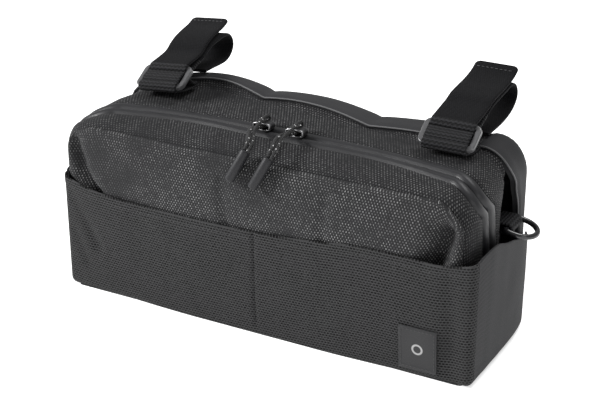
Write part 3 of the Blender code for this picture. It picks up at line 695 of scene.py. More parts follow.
def studio_floor(name):
    s = Shader(name, 0.9, specular=0.1)
    s.surface.inputs["Emission Color"].default_value = (1.0, 1.0, 1.0, 1.0)
    s.surface.inputs["Emission Strength"].default_value = 0.52
    cloud = s.noise(0.6, 2.0)
    return s.finish(s.mix(cloud, (0.93, 0.93, 0.93), (0.96, 0.96, 0.96)), cloud, 0.00002)


# Mesh making


def make_object(name, points, faces, material, cloth=None, sharp=50):
    mesh = bpy.data.meshes.new(name)
    mesh.from_pydata([tuple(p) for p in points], [], faces)
    if cloth is not None:
        place = mesh.attributes.new("cloth", "FLOAT_VECTOR", "POINT")
        place.data.foreach_set("vector", np.array(cloth, dtype=np.float32).ravel())
    mesh.materials.append(material)
    mesh.shade_smooth()
    mesh.set_sharp_from_angle(angle=radians(sharp))
    piece = bpy.data.objects.new(name, mesh)
    bpy.context.scene.collection.objects.link(piece)
    return piece


def unit(vectors):
    return vectors / np.maximum(np.linalg.norm(vectors, axis=-1, keepdims=True), 1e-12)


def grid_normals(grid):
    """Outward normals of a grid of rows and columns."""
    return unit(np.cross(np.gradient(grid, axis=1), np.gradient(grid, axis=0)))


def cloth_places(grid):
    """How far each point of a grid lies across and along the cloth, from its middle."""
    steps = np.linalg.norm(np.diff(grid, axis=1), axis=2)
    across = np.concatenate([np.zeros((len(grid), 1)), np.cumsum(steps, axis=1)], axis=1)
    across -= across[:, across.shape[1] // 2][:, None]
    steps = np.linalg.norm(np.diff(grid, axis=0), axis=2)
    along = np.concatenate([np.zeros((1, grid.shape[1])), np.cumsum(steps, axis=0)], axis=0)
    along -= along[len(grid) // 2][None, :]
    return np.stack([across, along, np.zeros_like(across)], axis=2)


def slab(name, grid, wall, material, sharp=50):
    """A cloth wall with its outer side on the grid and round edges along its first and last row."""
    grid = np.array(grid, float)
    rows, columns = grid.shape[:2]
    normal = grid_normals(grid)
    inner = grid - normal * wall
    places = cloth_places(grid)

    def round_edge(row, beside, turns):
        outwards = unit(grid[row] - grid[beside])
        middle = (grid[row] + inner[row]) / 2
        return [middle + wall / 2 * (normal[row] * cos(a) + outwards * sin(a)) for a in turns]

    turns = [pi * i / 4 for i in (1, 2, 3)]
    loop = list(grid) + round_edge(-1, -2, turns) + list(inner[::-1]) + round_edge(0, 1, turns[::-1])
    cloth = list(places) + [places[-1]] * 3 + list(places[::-1]) + [places[0]] * 3
    points, cloth = np.concatenate(loop), np.concatenate(cloth)
    count = len(loop)

    def at(row, column):
        return row % count * columns + column

    faces = [(at(r, c), at(r, c + 1), at(r + 1, c + 1), at(r + 1, c))
             for r in range(count) for c in range(columns - 1)]
    far = count - 4
    for column, turned in ((0, False), (columns - 1, True)):
        ends = [[at(r, column), at(r + 1, column), at(far - r - 1, column), at(far - r, column)]
                for r in range(rows - 1)]
        ends.append([at(r, column) for r in range(rows - 1, rows + 4)])
        ends.append([at(r, column) for r in range(far, count)] + [at(0, column)])
        faces += [tuple(reversed(e)) if turned else tuple(e) for e in ends]
    return make_object(name, points, faces, material, cloth, sharp)


def lay_sizes(grid):
    """Flat width, length and area of a grid of cloth."""
    grid = np.array(grid, float)
    wide = np.linalg.norm(np.diff(grid, axis=1), axis=2).sum(axis=1).max()
    long = np.linalg.norm(np.diff(grid, axis=0), axis=2).sum(axis=0).max()
    a, b = grid[1:, 1:] - grid[:-1, :-1], grid[1:, :-1] - grid[:-1, 1:]
    area = np.linalg.norm(np.cross(a, b), axis=2).sum() / 2
    return wide, long, min(area, wide * long)


def dress(piece, node, body="root"):
    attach(piece, body)
    if node:
        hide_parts(node)
    return piece


def cloth_piece(name, grid, wall, material, node):
    """A sheet of cloth that stands for a node."""
    piece = dress(slab(name, grid, wall, material), node)
    wide, long, area = lay_sizes(grid)
    return piece


def ring_faces(count, sides, closed=False):
    """Faces between rings of points, with a flat face over each end unless the rings close up."""
    faces = [(i * sides + s, i * sides + (s + 1) % sides,
              (i + 1) % count * sides + (s + 1) % sides, (i + 1) % count * sides + s)
             for i in range(count if closed else count - 1) for s in range(sides)]
    if not closed:
        faces += [tuple(reversed(range(sides))), tuple(range((count - 1) * sides, count * sides))]
    return faces


def sweep(name, path, section, across, material, closed=False, widths=None, sharp=50):
    """Carries a section along a path. A section point is (along the across vector, off the path)."""
    count, sides = len(path), len(section)
    points, cloth, run = [], [], 0.0
    is_strap = len(section) > 6 and abs(section[0][0]) > 2 * abs(section[0][1])
    girth = [0.0]
    for a, b in zip(section, section[1:]):
        girth.append(girth[-1] + hypot(b[0] - a[0], b[1] - a[1]))
    for i, place in enumerate(path):
        ahead = path[(i + 1) % count] if closed or i < count - 1 else place
        behind = path[i - 1] if closed or i > 0 else place
        side = across[i] if isinstance(across, list) else across
        normal = side.cross(ahead - behind).normalized()
        share = widths[i] if widths else 1.0
        run += (place - path[i - 1]).length if i else 0.0
        for s, (a, b) in enumerate(section):
            points.append(place + side * a * share + normal * b)
            cloth.append((a if is_strap else girth[s], run, 0))
    return make_object(name, points, ring_faces(count, sides, closed), material, cloth, sharp)


def rounded_section(wide, thick, across_steps=8, round_steps=4):
    """A flat section with round edges."""
    half, radius = wide / 2 - thick / 2, thick / 2
    flat = spread(-half, half, across_steps)
    turn = [pi * i / round_steps for i in range(1, round_steps)]
    section = [(x, -radius) for x in flat]
    section += [(half + radius * sin(a), -radius * cos(a)) for a in turn]
    section += [(x, radius) for x in reversed(flat)]
    section += [(-half - radius * sin(a), radius * cos(a)) for a in turn]
    return section[::-1]


def round_section(diameter, sides):
    return [(diameter / 2 * cos(2 * pi * i / sides), diameter / 2 * sin(2 * pi * i / sides))
            for i in range(sides)]


def tube(name, path, radius, material, sides=12):
    """A round tube along a smooth path, with its turns carried along so that it doesn't twist."""
    path = [Vector(p) for p in path]
    ahead = (path[1] - path[0]).normalized()
    side = ahead.orthogonal().normalized()
    points, cloth, run = [], [], 0.0
    for i, place in enumerate(path):
        run += (place - path[i - 1]).length if i else 0.0
        along = (path[min(i + 1, len(path) - 1)] - path[max(i - 1, 0)]).normalized()
        side = (side - along * side.dot(along)).normalized()
        other = along.cross(side)
        for s in range(sides):
            swing = 2 * pi * s / sides
            points.append(place + (side * cos(swing) + other * sin(swing)) * radius)
            cloth.append((swing * radius, run, 0))
    return make_object(name, points, ring_faces(len(path), sides), material, cloth, 60)


def stitches(name, path, normals, material, long=0.0022, pause=0.0011, radius=0.00022, proud=0.0001):
    """A row of stitches along a path: a small bead of thread for each."""
    path = [Vector(p) for p in path]
    lengths = [0.0]
    for a, b in zip(path, path[1:]):
        lengths.append(lengths[-1] + (b - a).length)

    def at(distance):
        i = 0
        while i < len(path) - 2 and lengths[i + 1] < distance:
            i += 1
        share = (distance - lengths[i]) / max(lengths[i + 1] - lengths[i], 1e-9)
        up = Vector(normals[i]).lerp(Vector(normals[i + 1]), share).normalized()
        return path[i].lerp(path[i + 1], share), up

    points, faces = [], []
    distance = pause
    rings = ((0.0, 0.15), (0.12, 0.8), (0.5, 1.0), (0.88, 0.8), (1.0, 0.15))
    while distance + long < lengths[-1]:
        start, up = at(distance)
        end, _ = at(distance + long)
        along = (end - start).normalized()
        side = along.cross(up).normalized()
        base = len(points)
        for share, size in rings:
            place = start.lerp(end, share) + up * (proud + radius * 0.4 * sin(pi * share))
            points += [place + (side * cos(pi / 3 * s) + up * sin(pi / 3 * s)) * radius * size
                       for s in range(6)]
        for r in range(len(rings) - 1):
            a = base + r * 6
            faces += [(a + s, a + 6 + s, a + 6 + (s + 1) % 6, a + (s + 1) % 6) for s in range(6)]
        faces += [tuple(base + s for s in range(6)),
                  tuple(base + (len(rings) - 1) * 6 + s for s in reversed(range(6)))]
        distance += long + pause
    return dress(make_object(name, points, faces, material, None, 60), None)


# The bag


def front_panel_point(x, z):
    """The front panel's outer side: domed, rolled back at its seam, dented and softly uneven."""
    half, top = shell_half(FRONT_SEAM), shell_top(0, FRONT_SEAM)
    face = FRONT_SEAM - GAP - CLOTH
    u, v = x / half, (z - top / 2) / (top / 2)
    puff = (1 - abs(u) ** 6) * (1 - abs(v) ** 4)
    edge = max(min(1, 14 * (1 - abs(u)), 6 * (1 - abs(v))), 0)
    above = min(max((z - 0.056) / 0.012, 0), 1) * max(1 - abs(v) ** 6, 0) * (1 - abs(u) ** 8)
    px, pz = rounded_corner(x, z, half, top, CORNER)
    if x < 0:
        px -= left_bulge(pz, FRONT_SEAM) * smooth(-u, 0.70, 1.0)
    near = max(min((1 - abs(u)) * half, (1 - v) * top / 2), 0)
    shrink = EDGE_SHRINK * exp(-(near / EDGE_SHRINK_REACH) ** 2)
    px -= shrink * smooth(abs(u), 0.80, 1.0) * (1 if x > 0 else -1)
    pz -= shrink * smooth(v, 0.80, 1.0)
    y = face - DOME * puff - OVER_POCKET * above
    y += EDGE_ROLL * exp(-(near / EDGE_ROLL_REACH) ** 2)
    uneven = rumple(x, 0.3, z, 0.030, 0.0006) + rumple(x, 1.7, z, 0.012, 0.00022)
    y += edge * (dent(x, z, FRONT_DENTS) + uneven)
    return Vector((px, y, pz))


def make_front_panel(mats):
    half, top = shell_half(FRONT_SEAM), shell_top(0, FRONT_SEAM)
    steps = 22
    corner = [half - CORNER + CORNER * sin(pi / 2 * (i + 1) / steps) for i in range(steps)]
    xs = [-x for x in reversed(corner)] + spread(-(half - CORNER), half - CORNER, 110) + corner
    zs = spread(FLOOR, top - CORNER, 46) + [x - half + top for x in corner]
    grid = [[front_panel_point(x, z) for x in xs] for z in zs]
    cloth_piece("front_panel_cloth", grid, CLOTH, mats["weave"], "front_panel")


def band_grid(start, end, rows, q_list, crown, dip, uneven, seed, first_dip=0):
    """A band of the shell between two depths, crowned, and dipped along its seams."""
    grid = []
    for row in range(rows):
        t = row / (rows - 1)
        line = []
        for q in q_list:
            first, last = start(q), end(q)
            y = first + (last - first) * t
            near = min(t, 1 - t) * (last - first)
            out = crown * sin(pi * t) - dip * exp(-(near / SEAM_REACH) ** 2)
            out -= first_dip * exp(-((y - first) / GROOVE_REACH) ** 2)
            place = shell(q, y)
            out += uneven * sin(pi * t) * noise.noise(place / 0.014 + Vector((seed, 0, 0)))
            line.append(shell(q, y, out))
        grid.append(line)
    return grid


def make_front_gusset(mats, q_list):
    grid = band_grid(lambda q: FRONT_SEAM, lambda q: zip_front(q) - GAP, 21, q_list,
                     0.0012, 0.0007, 0.0008, 3,
                     first_dip=GROOVE_DEPTH)
    # Its cloth is the darker copy of the weave: painted shade.
    cloth_piece("gusset_front_cloth", grid, CLOTH, mats["weave_painted_shade"], "gusset_front")


def make_zip(mats, q_list):
    front = band_grid(zip_front, lambda q: zip_slit(q) - ZIP_SLIT / 2, 13, q_list,
                      0.0008, 0.0009, 0.0002, 5)
    dress(slab("zip_front_half", front, TAPE, mats["tape"]), "zip_tape_front")
    back = band_grid(lambda q: zip_slit(q) + ZIP_SLIT / 2, zip_back, 13, q_list,
                     0.0007, 0.0009, 0.0002, 7)
    dress(slab("zip_back_half", back, TAPE, mats["tape"]), "zip_tape_back")


def make_back_gusset(mats, q_list):
    """The rear gusset: up to the back panel's edge over the top, folded inwards down the sides."""
    steps = 26
    grid = [[] for _ in range(steps)]
    for q in q_list:
        start, edge = zip_back(q) + GAP, back_edge(q) - GAP
        crease = HALF_DEPTH * table(FOLD, abs(q), 1)
        depth = PLEAT * table(FOLD, abs(q), 2)
        past = crease + 0.18 * (edge - crease)
        rise = max(pad(q) - BINDING - GAP, 0) * (1 - min(max((abs(q) - 1.5) / 0.4, 0), 1))
        for row in range(steps):
            t = row / (steps - 1)
            y = start + (edge - start) * t
            fold = 0 if y < crease else min((y - crease) / max(past - crease, 1e-6), 1)
            fold = fold * fold * (3 - 2 * fold)
            near = min(y - start, 0.004)
            climb = max(1 - (edge - y) / 0.0045, 0)
            climb = climb * climb * (3 - 2 * climb)
            place = shell(q, y)
            uneven = 0.0007 * noise.noise(place / 0.013) * sin(pi * min(t * 1.1, 1))
            out = -depth * fold + rise * climb - 0.0006 * exp(-(near / SEAM_REACH) ** 2) + uneven
            grid[row].append(shell(q, y, out))
    # Its cloth is the darker copy of the weave: painted shade.
    cloth_piece("gusset_back_cloth", grid, CLOTH, mats["weave_painted_shade"], "gusset_back")


def make_back_panel(mats):
    """A foam cap: the back face, a rolled edge, and wings that reach forward over top and sides."""
    corner = spread(-3.0, -2.0, 16) + spread(-2.0, -1.5, 5)[1:] + spread(-1.5, -1.0, 5)[1:-1]
    top = [-1.0]
    for first, last, _ in CHANNELS:
        top += spread(first, last, 18)[1:]
    q_list = corner + top + [-q for q in reversed(corner)]
    roll_steps, wing_steps = 8, 8
    height = q_list.index(-1.5) + 1
    columns = len(q_list) - 2 * (height - 1)

    def puffed(point, x_share, z_share):
        """Adds the back face's softness between its seams."""
        soft = sin(pi * x_share) * sin(pi * z_share)
        out = 0.0004 * soft + rumple(point.x, 4.0, point.z, 0.028, 0.0004)
        return Vector((point.x, point.y + out, point.z))

    def face_rows(edge, soft):
        low, high = edge[:height], edge[height - 1:height - 1 + columns]
        right = edge[height - 2 + columns:][::-1]
        grid = []
        for r in range(height - 1):
            rise = (low[r].z - FLOOR) / (low[-1].z - FLOOR)
            inside = [Vector((p.x, p.y, FLOOR + (p.z - FLOOR) * rise)) for p in high[1:-1]]
            if soft:
                inside = [puffed(p, (i + 1) / (columns - 1), r / height) for i, p in enumerate(inside)]
            grid.append([low[r], *inside, right[r]])
        return grid + [high]

    def points(round_edge, foam, soft):
        found = [p for row in face_rows([round_edge(q, 0) for q in q_list], soft) for p in row]
        rolled = []
        for step in range(1, roll_steps + 1):
            rolled = [round_edge(q, pi / 2 * step / roll_steps) for q in q_list]
            found += rolled
        for step in range(1, wing_steps + 1):
            share = step / wing_steps
            for q, p in zip(q_list, rolled):
                y = p.y + (back_edge(q) - p.y) * share
                lip = foam * BACK_LIP * exp(-((1 - share) * 6) ** 2)
                uneven = foam * rumple(p.x, y, p.z, 0.016, 0.0004) * sin(pi * share)
                found.append(shell(q, y, GAP + foam * pad(q) - lip + uneven))
        return found

    def face_index(i):
        if i < height:
            return i * columns
        if i < height - 1 + columns:
            return (height - 1) * columns + i - (height - 1)
        return (2 * (height - 1) + columns - 1 - i) * columns + columns - 1

    faces = [(r * columns + c, (r + 1) * columns + c, (r + 1) * columns + c + 1, r * columns + c + 1)
             for r in range(height - 1) for c in range(columns - 1)]
    base, count = height * columns, len(q_list)
    for i in range(count - 1):
        faces.append((base + i, base + i + 1, face_index(i + 1), face_index(i)))
        for row in range(roll_steps + wing_steps - 1):
            a = base + row * count + i
            faces.append((a + count, a + count + 1, a + 1, a))
    outer, inner = points(back_outer, 1, True), points(back_inner, 0, False)
    edges = {(a, b) for face in faces for a, b in zip(face, face[1:] + face[:1])}
    total = len(outer)
    rim = [(b, a, a + total, b + total) for a, b in sorted(edges) if (b, a) not in edges]
    back = [tuple(i + total for i in reversed(face)) for face in faces]
    cloth = [(p.x, p.y + p.z, 0) for p in outer + inner]
    piece = make_object("back_panel_foam", outer + inner, [*faces, *back, *rim], mats["panel"], cloth, 60)
    dress(piece, "back_panel")


def make_back_trim(mats):
    """The binding along the back panel's front edge, coloured lighter as a painted highlight, and the stitch
    lines beside it.
    """
    foot = 2.3
    q_list = spread(-foot, foot, 260)
    lift = [max(pad(q), BINDING) for q in q_list]
    thin = BINDING / 4
    path = [shell(q, back_edge(q) - thin, GAP + h - BACK_LIP) for q, h in zip(q_list, lift)]
    piece = tube("back_edge_binding", path, thin, mats["binding"], 10)
    dress(piece, "back_binding")
    for name, sign in (("right", 1), ("left", -1)):
        seam, normals = [], []
        for share in spread(0, 1, 30):
            q = sign * 1.0
            y = back_edge(q) + 0.001 + (HALF_DEPTH - BACK_ROLL - back_edge(q)) * share
            place = shell(q, y, GAP + pad(q))
            seam.append(place)
            normals.append(Vector((0, 0, 1)))
        stitches("back_seam_stitches_" + name, seam, normals, mats["thread"])


def make_base(mats):
    """The bottom cloth, inside the feet of the pockets."""
    front, back = -HALF_DEPTH + MESH + GAP, HALF_DEPTH - BACK_DIP
    pocket_end = SIDE_RIM[-1][0] * HALF_DEPTH
    turn = POCKET_TURN - MESH - GAP
    right = []
    for i in range(7):
        swing = pi / 2 * i / 6
        right.append((WIDTH / 2 - MESH - GAP - turn * (1 - sin(swing)), front + turn * (1 - cos(swing))))
    right += [(side_pocket_foot(y) - MESH - GAP, y) for y in spread(front + 2 * turn, pocket_end, 24)]
    right += [(back_side_x(y), y) for y in spread(pocket_end, back, 6)[1:]]
    inset = 0.85 * FOOT_TURN
    grid = [[Vector(((2 * share - 1) * (x - inset), y, 0.0)) for share in spread(0, 1, 60)]
            for x, y in reversed(right)]
    cloth_piece("base_cloth", grid, BASE_WALL, mats["weave"], "base_panel")


def foot_tuck(z):
    """How far a pocket's wall turns in at its foot."""
    rise = max(FOOT_TURN - z, 0)
    return FOOT_TURN - sqrt(FOOT_TURN**2 - min(rise, 0.96 * FOOT_TURN) ** 2)


def front_pocket_point(x, share, out=0.0):
    """The front pocket's outer side at an x and a share of its height."""
    half = WIDTH / 2
    z = share * POCKET_HEIGHT * table(RIM, x / half)
    u = abs(x) / half
    free = 1 - u**8
    puff = free * (0.85 * sin(pi / 2 * share) + 0.35 * sin(pi * share))
    y = -HALF_DEPTH - POCKET_PUFF * puff + free * dent(x, z, POCKET_DENTS) * sin(pi * share) ** 0.5
    turn = max(abs(x) - (half - POCKET_TURN), 0)
    y += POCKET_TURN - sqrt(max(POCKET_TURN**2 - turn**2, 0))
    aside = min(turn / POCKET_TURN, 1)
    tuck = foot_tuck(z) * smooth(abs(x), 0.3 * half, half)
    x -= tuck * aside * (1 if x > 0 else -1)
    y += tuck * sqrt(1 - aside**2)
    seam = POCKET_SEAM * exp(-(x / POCKET_SEAM_REACH) ** 2) * min(share * 8, 1)
    uneven = rumple(x, 9.0, z, 0.034, 0.0007) + rumple(x, 5.0, z * 0.4, 0.011, 0.0003)
    uneven *= free * sin(pi * share)
    return Vector((x, y - out + seam + uneven, z))


def make_front_pocket(mats):
    half = WIDTH / 2
    steps = 8
    corner = [half - POCKET_TURN * (1 - sin(pi / 2 * (i + 1) / steps)) for i in range(steps)]
    flat = spread(-(half - POCKET_TURN), half - POCKET_TURN, 180)
    xs = [-x for x in reversed(corner)] + flat + corner
    shares = spread(0, 0.08, 10)[:-1] + spread(0.08, 0.96, 40) + [0.967, 0.974, 0.981, 0.988, 0.994, 1.0]
    grid = []
    for share in shares:
        hem = 0.0004 * min(max((share - 0.93) / 0.01, 0), 1)
        grid.append([front_pocket_point(x, share, hem) for x in xs])
    cloth_piece("pocket_front_mesh", grid, MESH, mats["mesh"], "pocket_front")
    rim, normals = [], []
    for x in flat:
        rim.append(front_pocket_point(x, 0.935))
        normals.append(Vector((0, -1, 0)))
    stitches("pocket_hem_stitches", rim, normals, mats["thread"], 0.0018, 0.0009, 0.00018)


def side_pocket_point(side, y, share):
    rim = POCKET_HEIGHT * table(SIDE_RIM, y / HALF_DEPTH, 1)
    puff = SIDE_PUFF * table(SIDE_RIM, y / HALF_DEPTH, 3) * sin(pi / 2 * share)
    free = sin(pi * min(max((y / HALF_DEPTH + 0.91) / 1.83, 0), 1))
    puff += free * (rumple(y, 2.0 * side, rim * share, 0.020, 0.0006)) * sin(pi / 2 * share)
    return Vector((side * (side_pocket_foot(y) + puff - foot_tuck(rim * share)), y, rim * share))


def make_side_pocket(name, side, mats):
    start = -HALF_DEPTH + POCKET_TURN + GAP
    ys = spread(start, SIDE_RIM[-1][0] * HALF_DEPTH, 60)
    grid = []
    for share in spread(0, 0.08, 10)[:-1] + spread(0.08, 0.96, 36) + [0.97, 0.98, 0.99, 1.0]:
        row = [side_pocket_point(side, y, share) for y in ys]
        grid.append(row if side > 0 else row[::-1])
    cloth_piece(name + "_cloth", grid, MESH, mats["side"], name)


def make_label(mats):
    steps = 14
    grid = []
    for z in spread(LABEL_Z - LABEL_TALL / 2, LABEL_Z + LABEL_TALL / 2, steps):
        row = []
        for x in spread(LABEL_X - LABEL_WIDE / 2, LABEL_X + LABEL_WIDE / 2, steps):
            share = z / (POCKET_HEIGHT * table(RIM, x / (WIDTH / 2)))
            row.append(front_pocket_point(x, share, GAP + LABEL_WALL))
        grid.append(row)
    piece = slab("label_cloth", grid, LABEL_WALL, mats["label"])
    dress(piece, "label_patch")
    inset = LABEL_FRAME
    low_x, high_x = LABEL_X - LABEL_WIDE / 2 + inset, LABEL_X + LABEL_WIDE / 2 - inset
    low_z, high_z = LABEL_Z - LABEL_TALL / 2 + inset, LABEL_Z + LABEL_TALL / 2 - inset
    sides = ((low_x, low_z, high_x, low_z), (high_x, low_z, high_x, high_z),
             (high_x, high_z, low_x, high_z), (low_x, high_z, low_x, low_z))
    for i, (x0, z0, x1, z1) in enumerate(sides):
        path = []
        for t in spread(0, 1, 12):
            x, z = x0 + (x1 - x0) * t, z0 + (z1 - z0) * t
            path.append(front_pocket_point(x, z / (POCKET_HEIGHT * table(RIM, x / (WIDTH / 2))),
                                           GAP + LABEL_WALL))
        stitches("label_stitches_%d" % i, path, [Vector((0, -1, 0))] * len(path), mats["thread"],
                 0.0014, 0.0008, 0.00016)


def turn_round(bar, radius, first, last, steps):
    """Points round a bar in the YZ plane, by angle from +Y towards +Z."""
    return [(bar[0] + radius * cos(radians(a)), bar[1] + radius * sin(radians(a)))
            for a in spread(first, last, steps)]


def end_widths(path, radius):
    """Width shares along a strap whose last corners are rounded."""
    lengths = [0.0]
    for a, b in zip(path, path[1:]):
        lengths.append(lengths[-1] + (b - a).length)
    found = []
    for length in lengths:
        left = lengths[-1] - length
        inset = radius - sqrt(max(radius**2 - max(radius - left, 0) ** 2, 0))
        found.append(1 - 2 * inset / WEBBING)
    return found


def refine_end(path, count=8, reach=0.003):
    """Adds points close to the path's end, where its corners are rounded."""
    end, before = path[-1], path[-2]
    along = (end - before).normalized()
    while len(path) > 2 and (path[-1] - end).length < reach:
        path.pop()
    return path + [end - along * reach * (1 - (i / count)) ** 1.6 for i in range(count)] + [end]


def make_strap_set(name, side, roll, bar, tilt, under, over, skew, mats):
    """A strap loop, its buckle and the webbing that anchors the buckle.

    bar is the middle (y, z) of the buckle's upper bar, tilt its rise towards the back, and skew
    how far the free end wanders outwards.
    """
    across = Vector((cos(roll), 0, sin(roll)))
    low_bar = (bar[0] - BUCKLE_PITCH * cos(tilt), bar[1] - BUCKLE_PITCH * sin(tilt))

    def place(y, z, shift=0.0):
        return Vector((side * (STRAP_X + shift), y, z))

    turn = BUCKLE_WIRE / 2 + GAP + STRAP_WALL / 2
    lower = [(bar[0] + y * STRAP_REACH, bar[1] + z * STRAP_REACH) for y, z in under]
    upper = [(bar[0] + y * STRAP_REACH, bar[1] + z * STRAP_REACH) for y, z in over]
    run = curve_through([place(*p) for p in lower], STRAP_STEPS)
    run += [place(*p) for p in turn_round(bar, turn, -75, -260, WRAP_STEPS)]
    free = [place(*p, skew * (share[0] ** 2)) for p, share in zip(upper, over)]
    run += curve_through(free, STRAP_STEPS)
    run = refine_end(run)
    section = rounded_section(WEBBING, STRAP_WALL)
    piece = sweep("strap_loop_" + name, run, section, across, mats["loop"],
                  widths=end_widths(run, STRAP_END_RADIUS))
    piece.data.materials.append(mats["webbing"])
    first = STRAP_STEPS * (len(under) - 1) - 6      # ribbed from just before the bar to just past it
    for face in piece.data.polygons:
        if first <= face.index // len(section) <= first + WRAP_STEPS + 5:
            face.material_index = 1
    dress(piece, "strap_" + name)

    end = run[-1]
    along = (run[-1] - run[-14]).normalized()
    normal = across.cross(along).normalized()
    if normal.z < 0:
        normal = -normal
    half = WEBBING / 2 - 0.0015
    line = [end - along * STRAP_END_STITCH + across * t + normal * (STRAP_WALL / 2)
            for t in spread(-half, half, 10)]
    stitches("strap_end_stitches_" + name, line, [normal] * len(line), mats["thread"], 0.0018, 0.0008, 0.0002)

    across_webbing = [side * x for x in spread(STRAP_X - WEBBING / 2, STRAP_X + WEBBING / 2, 4)]
    rear = min(back_edge(x / (shell_half(0) - CORNER)) for x in across_webbing) - 3 * BINDING
    seat = max(shell(x / (shell_half(rear) - CORNER), rear).z - (x - side * STRAP_X) * sin(roll)
               for x in across_webbing)
    seat += GAP + 0.6 * WEBBING_WALL
    turn = BUCKLE_WIRE / 2 + GAP + WEBBING_WALL / 2
    middle = (rear + low_bar[0]) / 2
    ends = ((rear + 2 * BINDING, seat), (rear, seat), (middle, (seat + low_bar[1] - turn) / 2 - 0.3 * turn))

    def over_bar(along, above):
        return (low_bar[0] + along * cos(tilt) - above * sin(tilt),
                low_bar[1] + along * sin(tilt) + above * cos(tilt))

    reach = BUCKLE_PITCH - BUCKLE_WIRE / 2 - STRAP_WALL - WEBBING_WALL
    tops = (over_bar(0.5 * reach, turn), over_bar(reach, 0.7 * turn),
            over_bar(reach + WEBBING_WALL, -0.4 * turn), (rear, seat + 1.5 * WEBBING_WALL),
            (rear + 2 * BINDING, seat + 1.5 * WEBBING_WALL))
    run = curve_through([place(*p) for p in ends], 6)
    run += [place(*p) for p in turn_round(low_bar, turn, -95, -285 - 0.2 * (31 - tilt), 28)]
    run += curve_through([place(*p) for p in tops], 6)
    piece = sweep("strap_anchor_webbing_" + name, run, rounded_section(WEBBING, WEBBING_WALL), across,
                  mats["webbing"])
    dress(piece, "strap_anchor_" + name)
    make_buckle(name, side, bar, low_bar, tilt, across, mats)


def make_buckle(name, side, bar, low_bar, tilt, across, mats):
    """A moulded two-bar loop with flat side bars."""
    along = Vector((0, cos(tilt), sin(tilt)))
    normal = across.cross(along).normalized()
    centre = Vector((side * STRAP_X, (bar[0] + low_bar[0]) / 2, (bar[1] + low_bar[1]) / 2))
    half_wide = WEBBING / 2 + GAP + BUCKLE_WIRE / 2
    bend = BUCKLE_WIRE * 0.75
    path, quarter_steps = [], 8
    for quarter in range(4):
        for step in range(quarter_steps + 1):
            swing = pi / 2 * (quarter + step / quarter_steps)
            x = (half_wide - bend) * (1 if quarter in (0, 3) else -1) + bend * cos(swing)
            y = (BUCKLE_PITCH / 2 - bend) * (1 if quarter in (0, 1) else -1) + bend * sin(swing)
            path.append(centre + across * x + along * y)
    full = []
    for i, place in enumerate(path):
        after = path[(i + 1) % len(path)]
        steps = 6 if (after - place).length > 0.004 else 1
        full += [place.lerp(after, k / steps) for k in range(steps)]
    half, soft = BUCKLE_WIRE / 2, 0.0006
    section = []
    for corner in range(4):
        for step in range(4):
            swing = pi / 2 * (corner + step / 3)
            section.append(((half - soft) * (1 if corner in (0, 3) else -1) + soft * cos(swing),
                            (half - soft) * (1 if corner in (0, 1) else -1) + soft * sin(swing)))
    piece = sweep("buckle_loop_" + name, full, section, normal, mats["plastic"], closed=True, sharp=35)
    dress(piece, "buckle_" + name)


def make_ring(name, side, mats):
    """A D-ring on its pin axis, and the webbing tab that holds the pin."""
    pin = Vector((side * (SHELL_HALF + RING_OUT), RING_Y, RING_Z))
    half = RING_WIDTH / 2 - RING_WIRE / 2
    reach = RING_REACH - RING_WIRE
    straight, bend = RING_STRAIGHT * reach, RING_BEND
    path = spread(-half + bend, half - bend, 8)
    path = [(0.0, b) for b in path]
    path += [(bend - bend * cos(a), half - bend + bend * sin(a)) for a in spread(0, pi / 2, 6)[1:]]
    path += [(straight + (reach - straight) * cos(a), half * sin(a)) for a in spread(pi / 2, -pi / 2, 36)]
    path += [(bend - bend * sin(a), -half + bend - bend * cos(a)) for a in spread(0, pi / 2, 6)[:-1]]
    piece = sweep("ring_" + name, [Vector((a, b, 0)) for a, b in path],
                  round_section(RING_WIRE, 16), Vector((0, 0, 1)), mats["gloss"], closed=True, sharp=80)
    turned = Matrix.Rotation(pi if side < 0 else 0, 4, "Z") @ Matrix.Rotation(RING_REST, 4, "Y")
    piece.matrix_world = Matrix.Translation(pin) @ turned
    dress(piece, "d_ring_" + name, "ring_" + name)

    radius = RING_WIRE / 2 + GAP + WEBBING_WALL / 2
    root = shell_half(RING_Y - RING_TAB / 2) - PLEAT + 2 * GAP
    profile = [(x, RING_Z + radius) for x in spread(root, pin.x * side - radius, 5)]
    profile += [(pin.x * side + radius * sin(radians(a)), RING_Z + radius * cos(radians(a)))
                for a in spread(0, 180, 20)]
    profile += [(x, RING_Z - radius) for x in spread(pin.x * side - radius, root, 5)]
    run = [Vector((side * x, RING_Y, z)) for x, z in profile]
    piece = sweep("ring_tab_webbing_" + name, run, rounded_section(RING_TAB, WEBBING_WALL), Vector((0, 1, 0)),
                  mats["webbing"])
    dress(piece, "ring_tab_" + name)


def make_slider(name, x, mats):
    """A zip slider: a flat body on the zip and a bridge for the cord."""
    q = x / (SHELL_HALF - CORNER)
    seat = shell(q, zip_slit(q), GAP)
    half_long, half_tall, plate = SLIDER_LONG / 2, SLIDER_TALL / 2, SLIDER_PLATE
    centre = seat + Vector((0, 0, half_tall))
    path = []
    for i in range(40):
        swing = 2 * pi * i / 40
        long_share = abs(cos(swing)) ** SLIDER_SQUARE * (1 if cos(swing) >= 0 else -1)
        tall_share = abs(sin(swing)) ** SLIDER_SQUARE * (1 if sin(swing) >= 0 else -1)
        path.append(centre + Vector(((half_long - plate / 2) * long_share, 0,
                                     (half_tall - plate / 2) * tall_share)))
    piece = sweep("slider_body_" + name, path, rounded_section(SLIDER_WIDE, plate, 4, 4), Vector((0, 1, 0)),
                  mats["metal"], closed=True)
    dress(piece, "slider_" + name)
    return centre


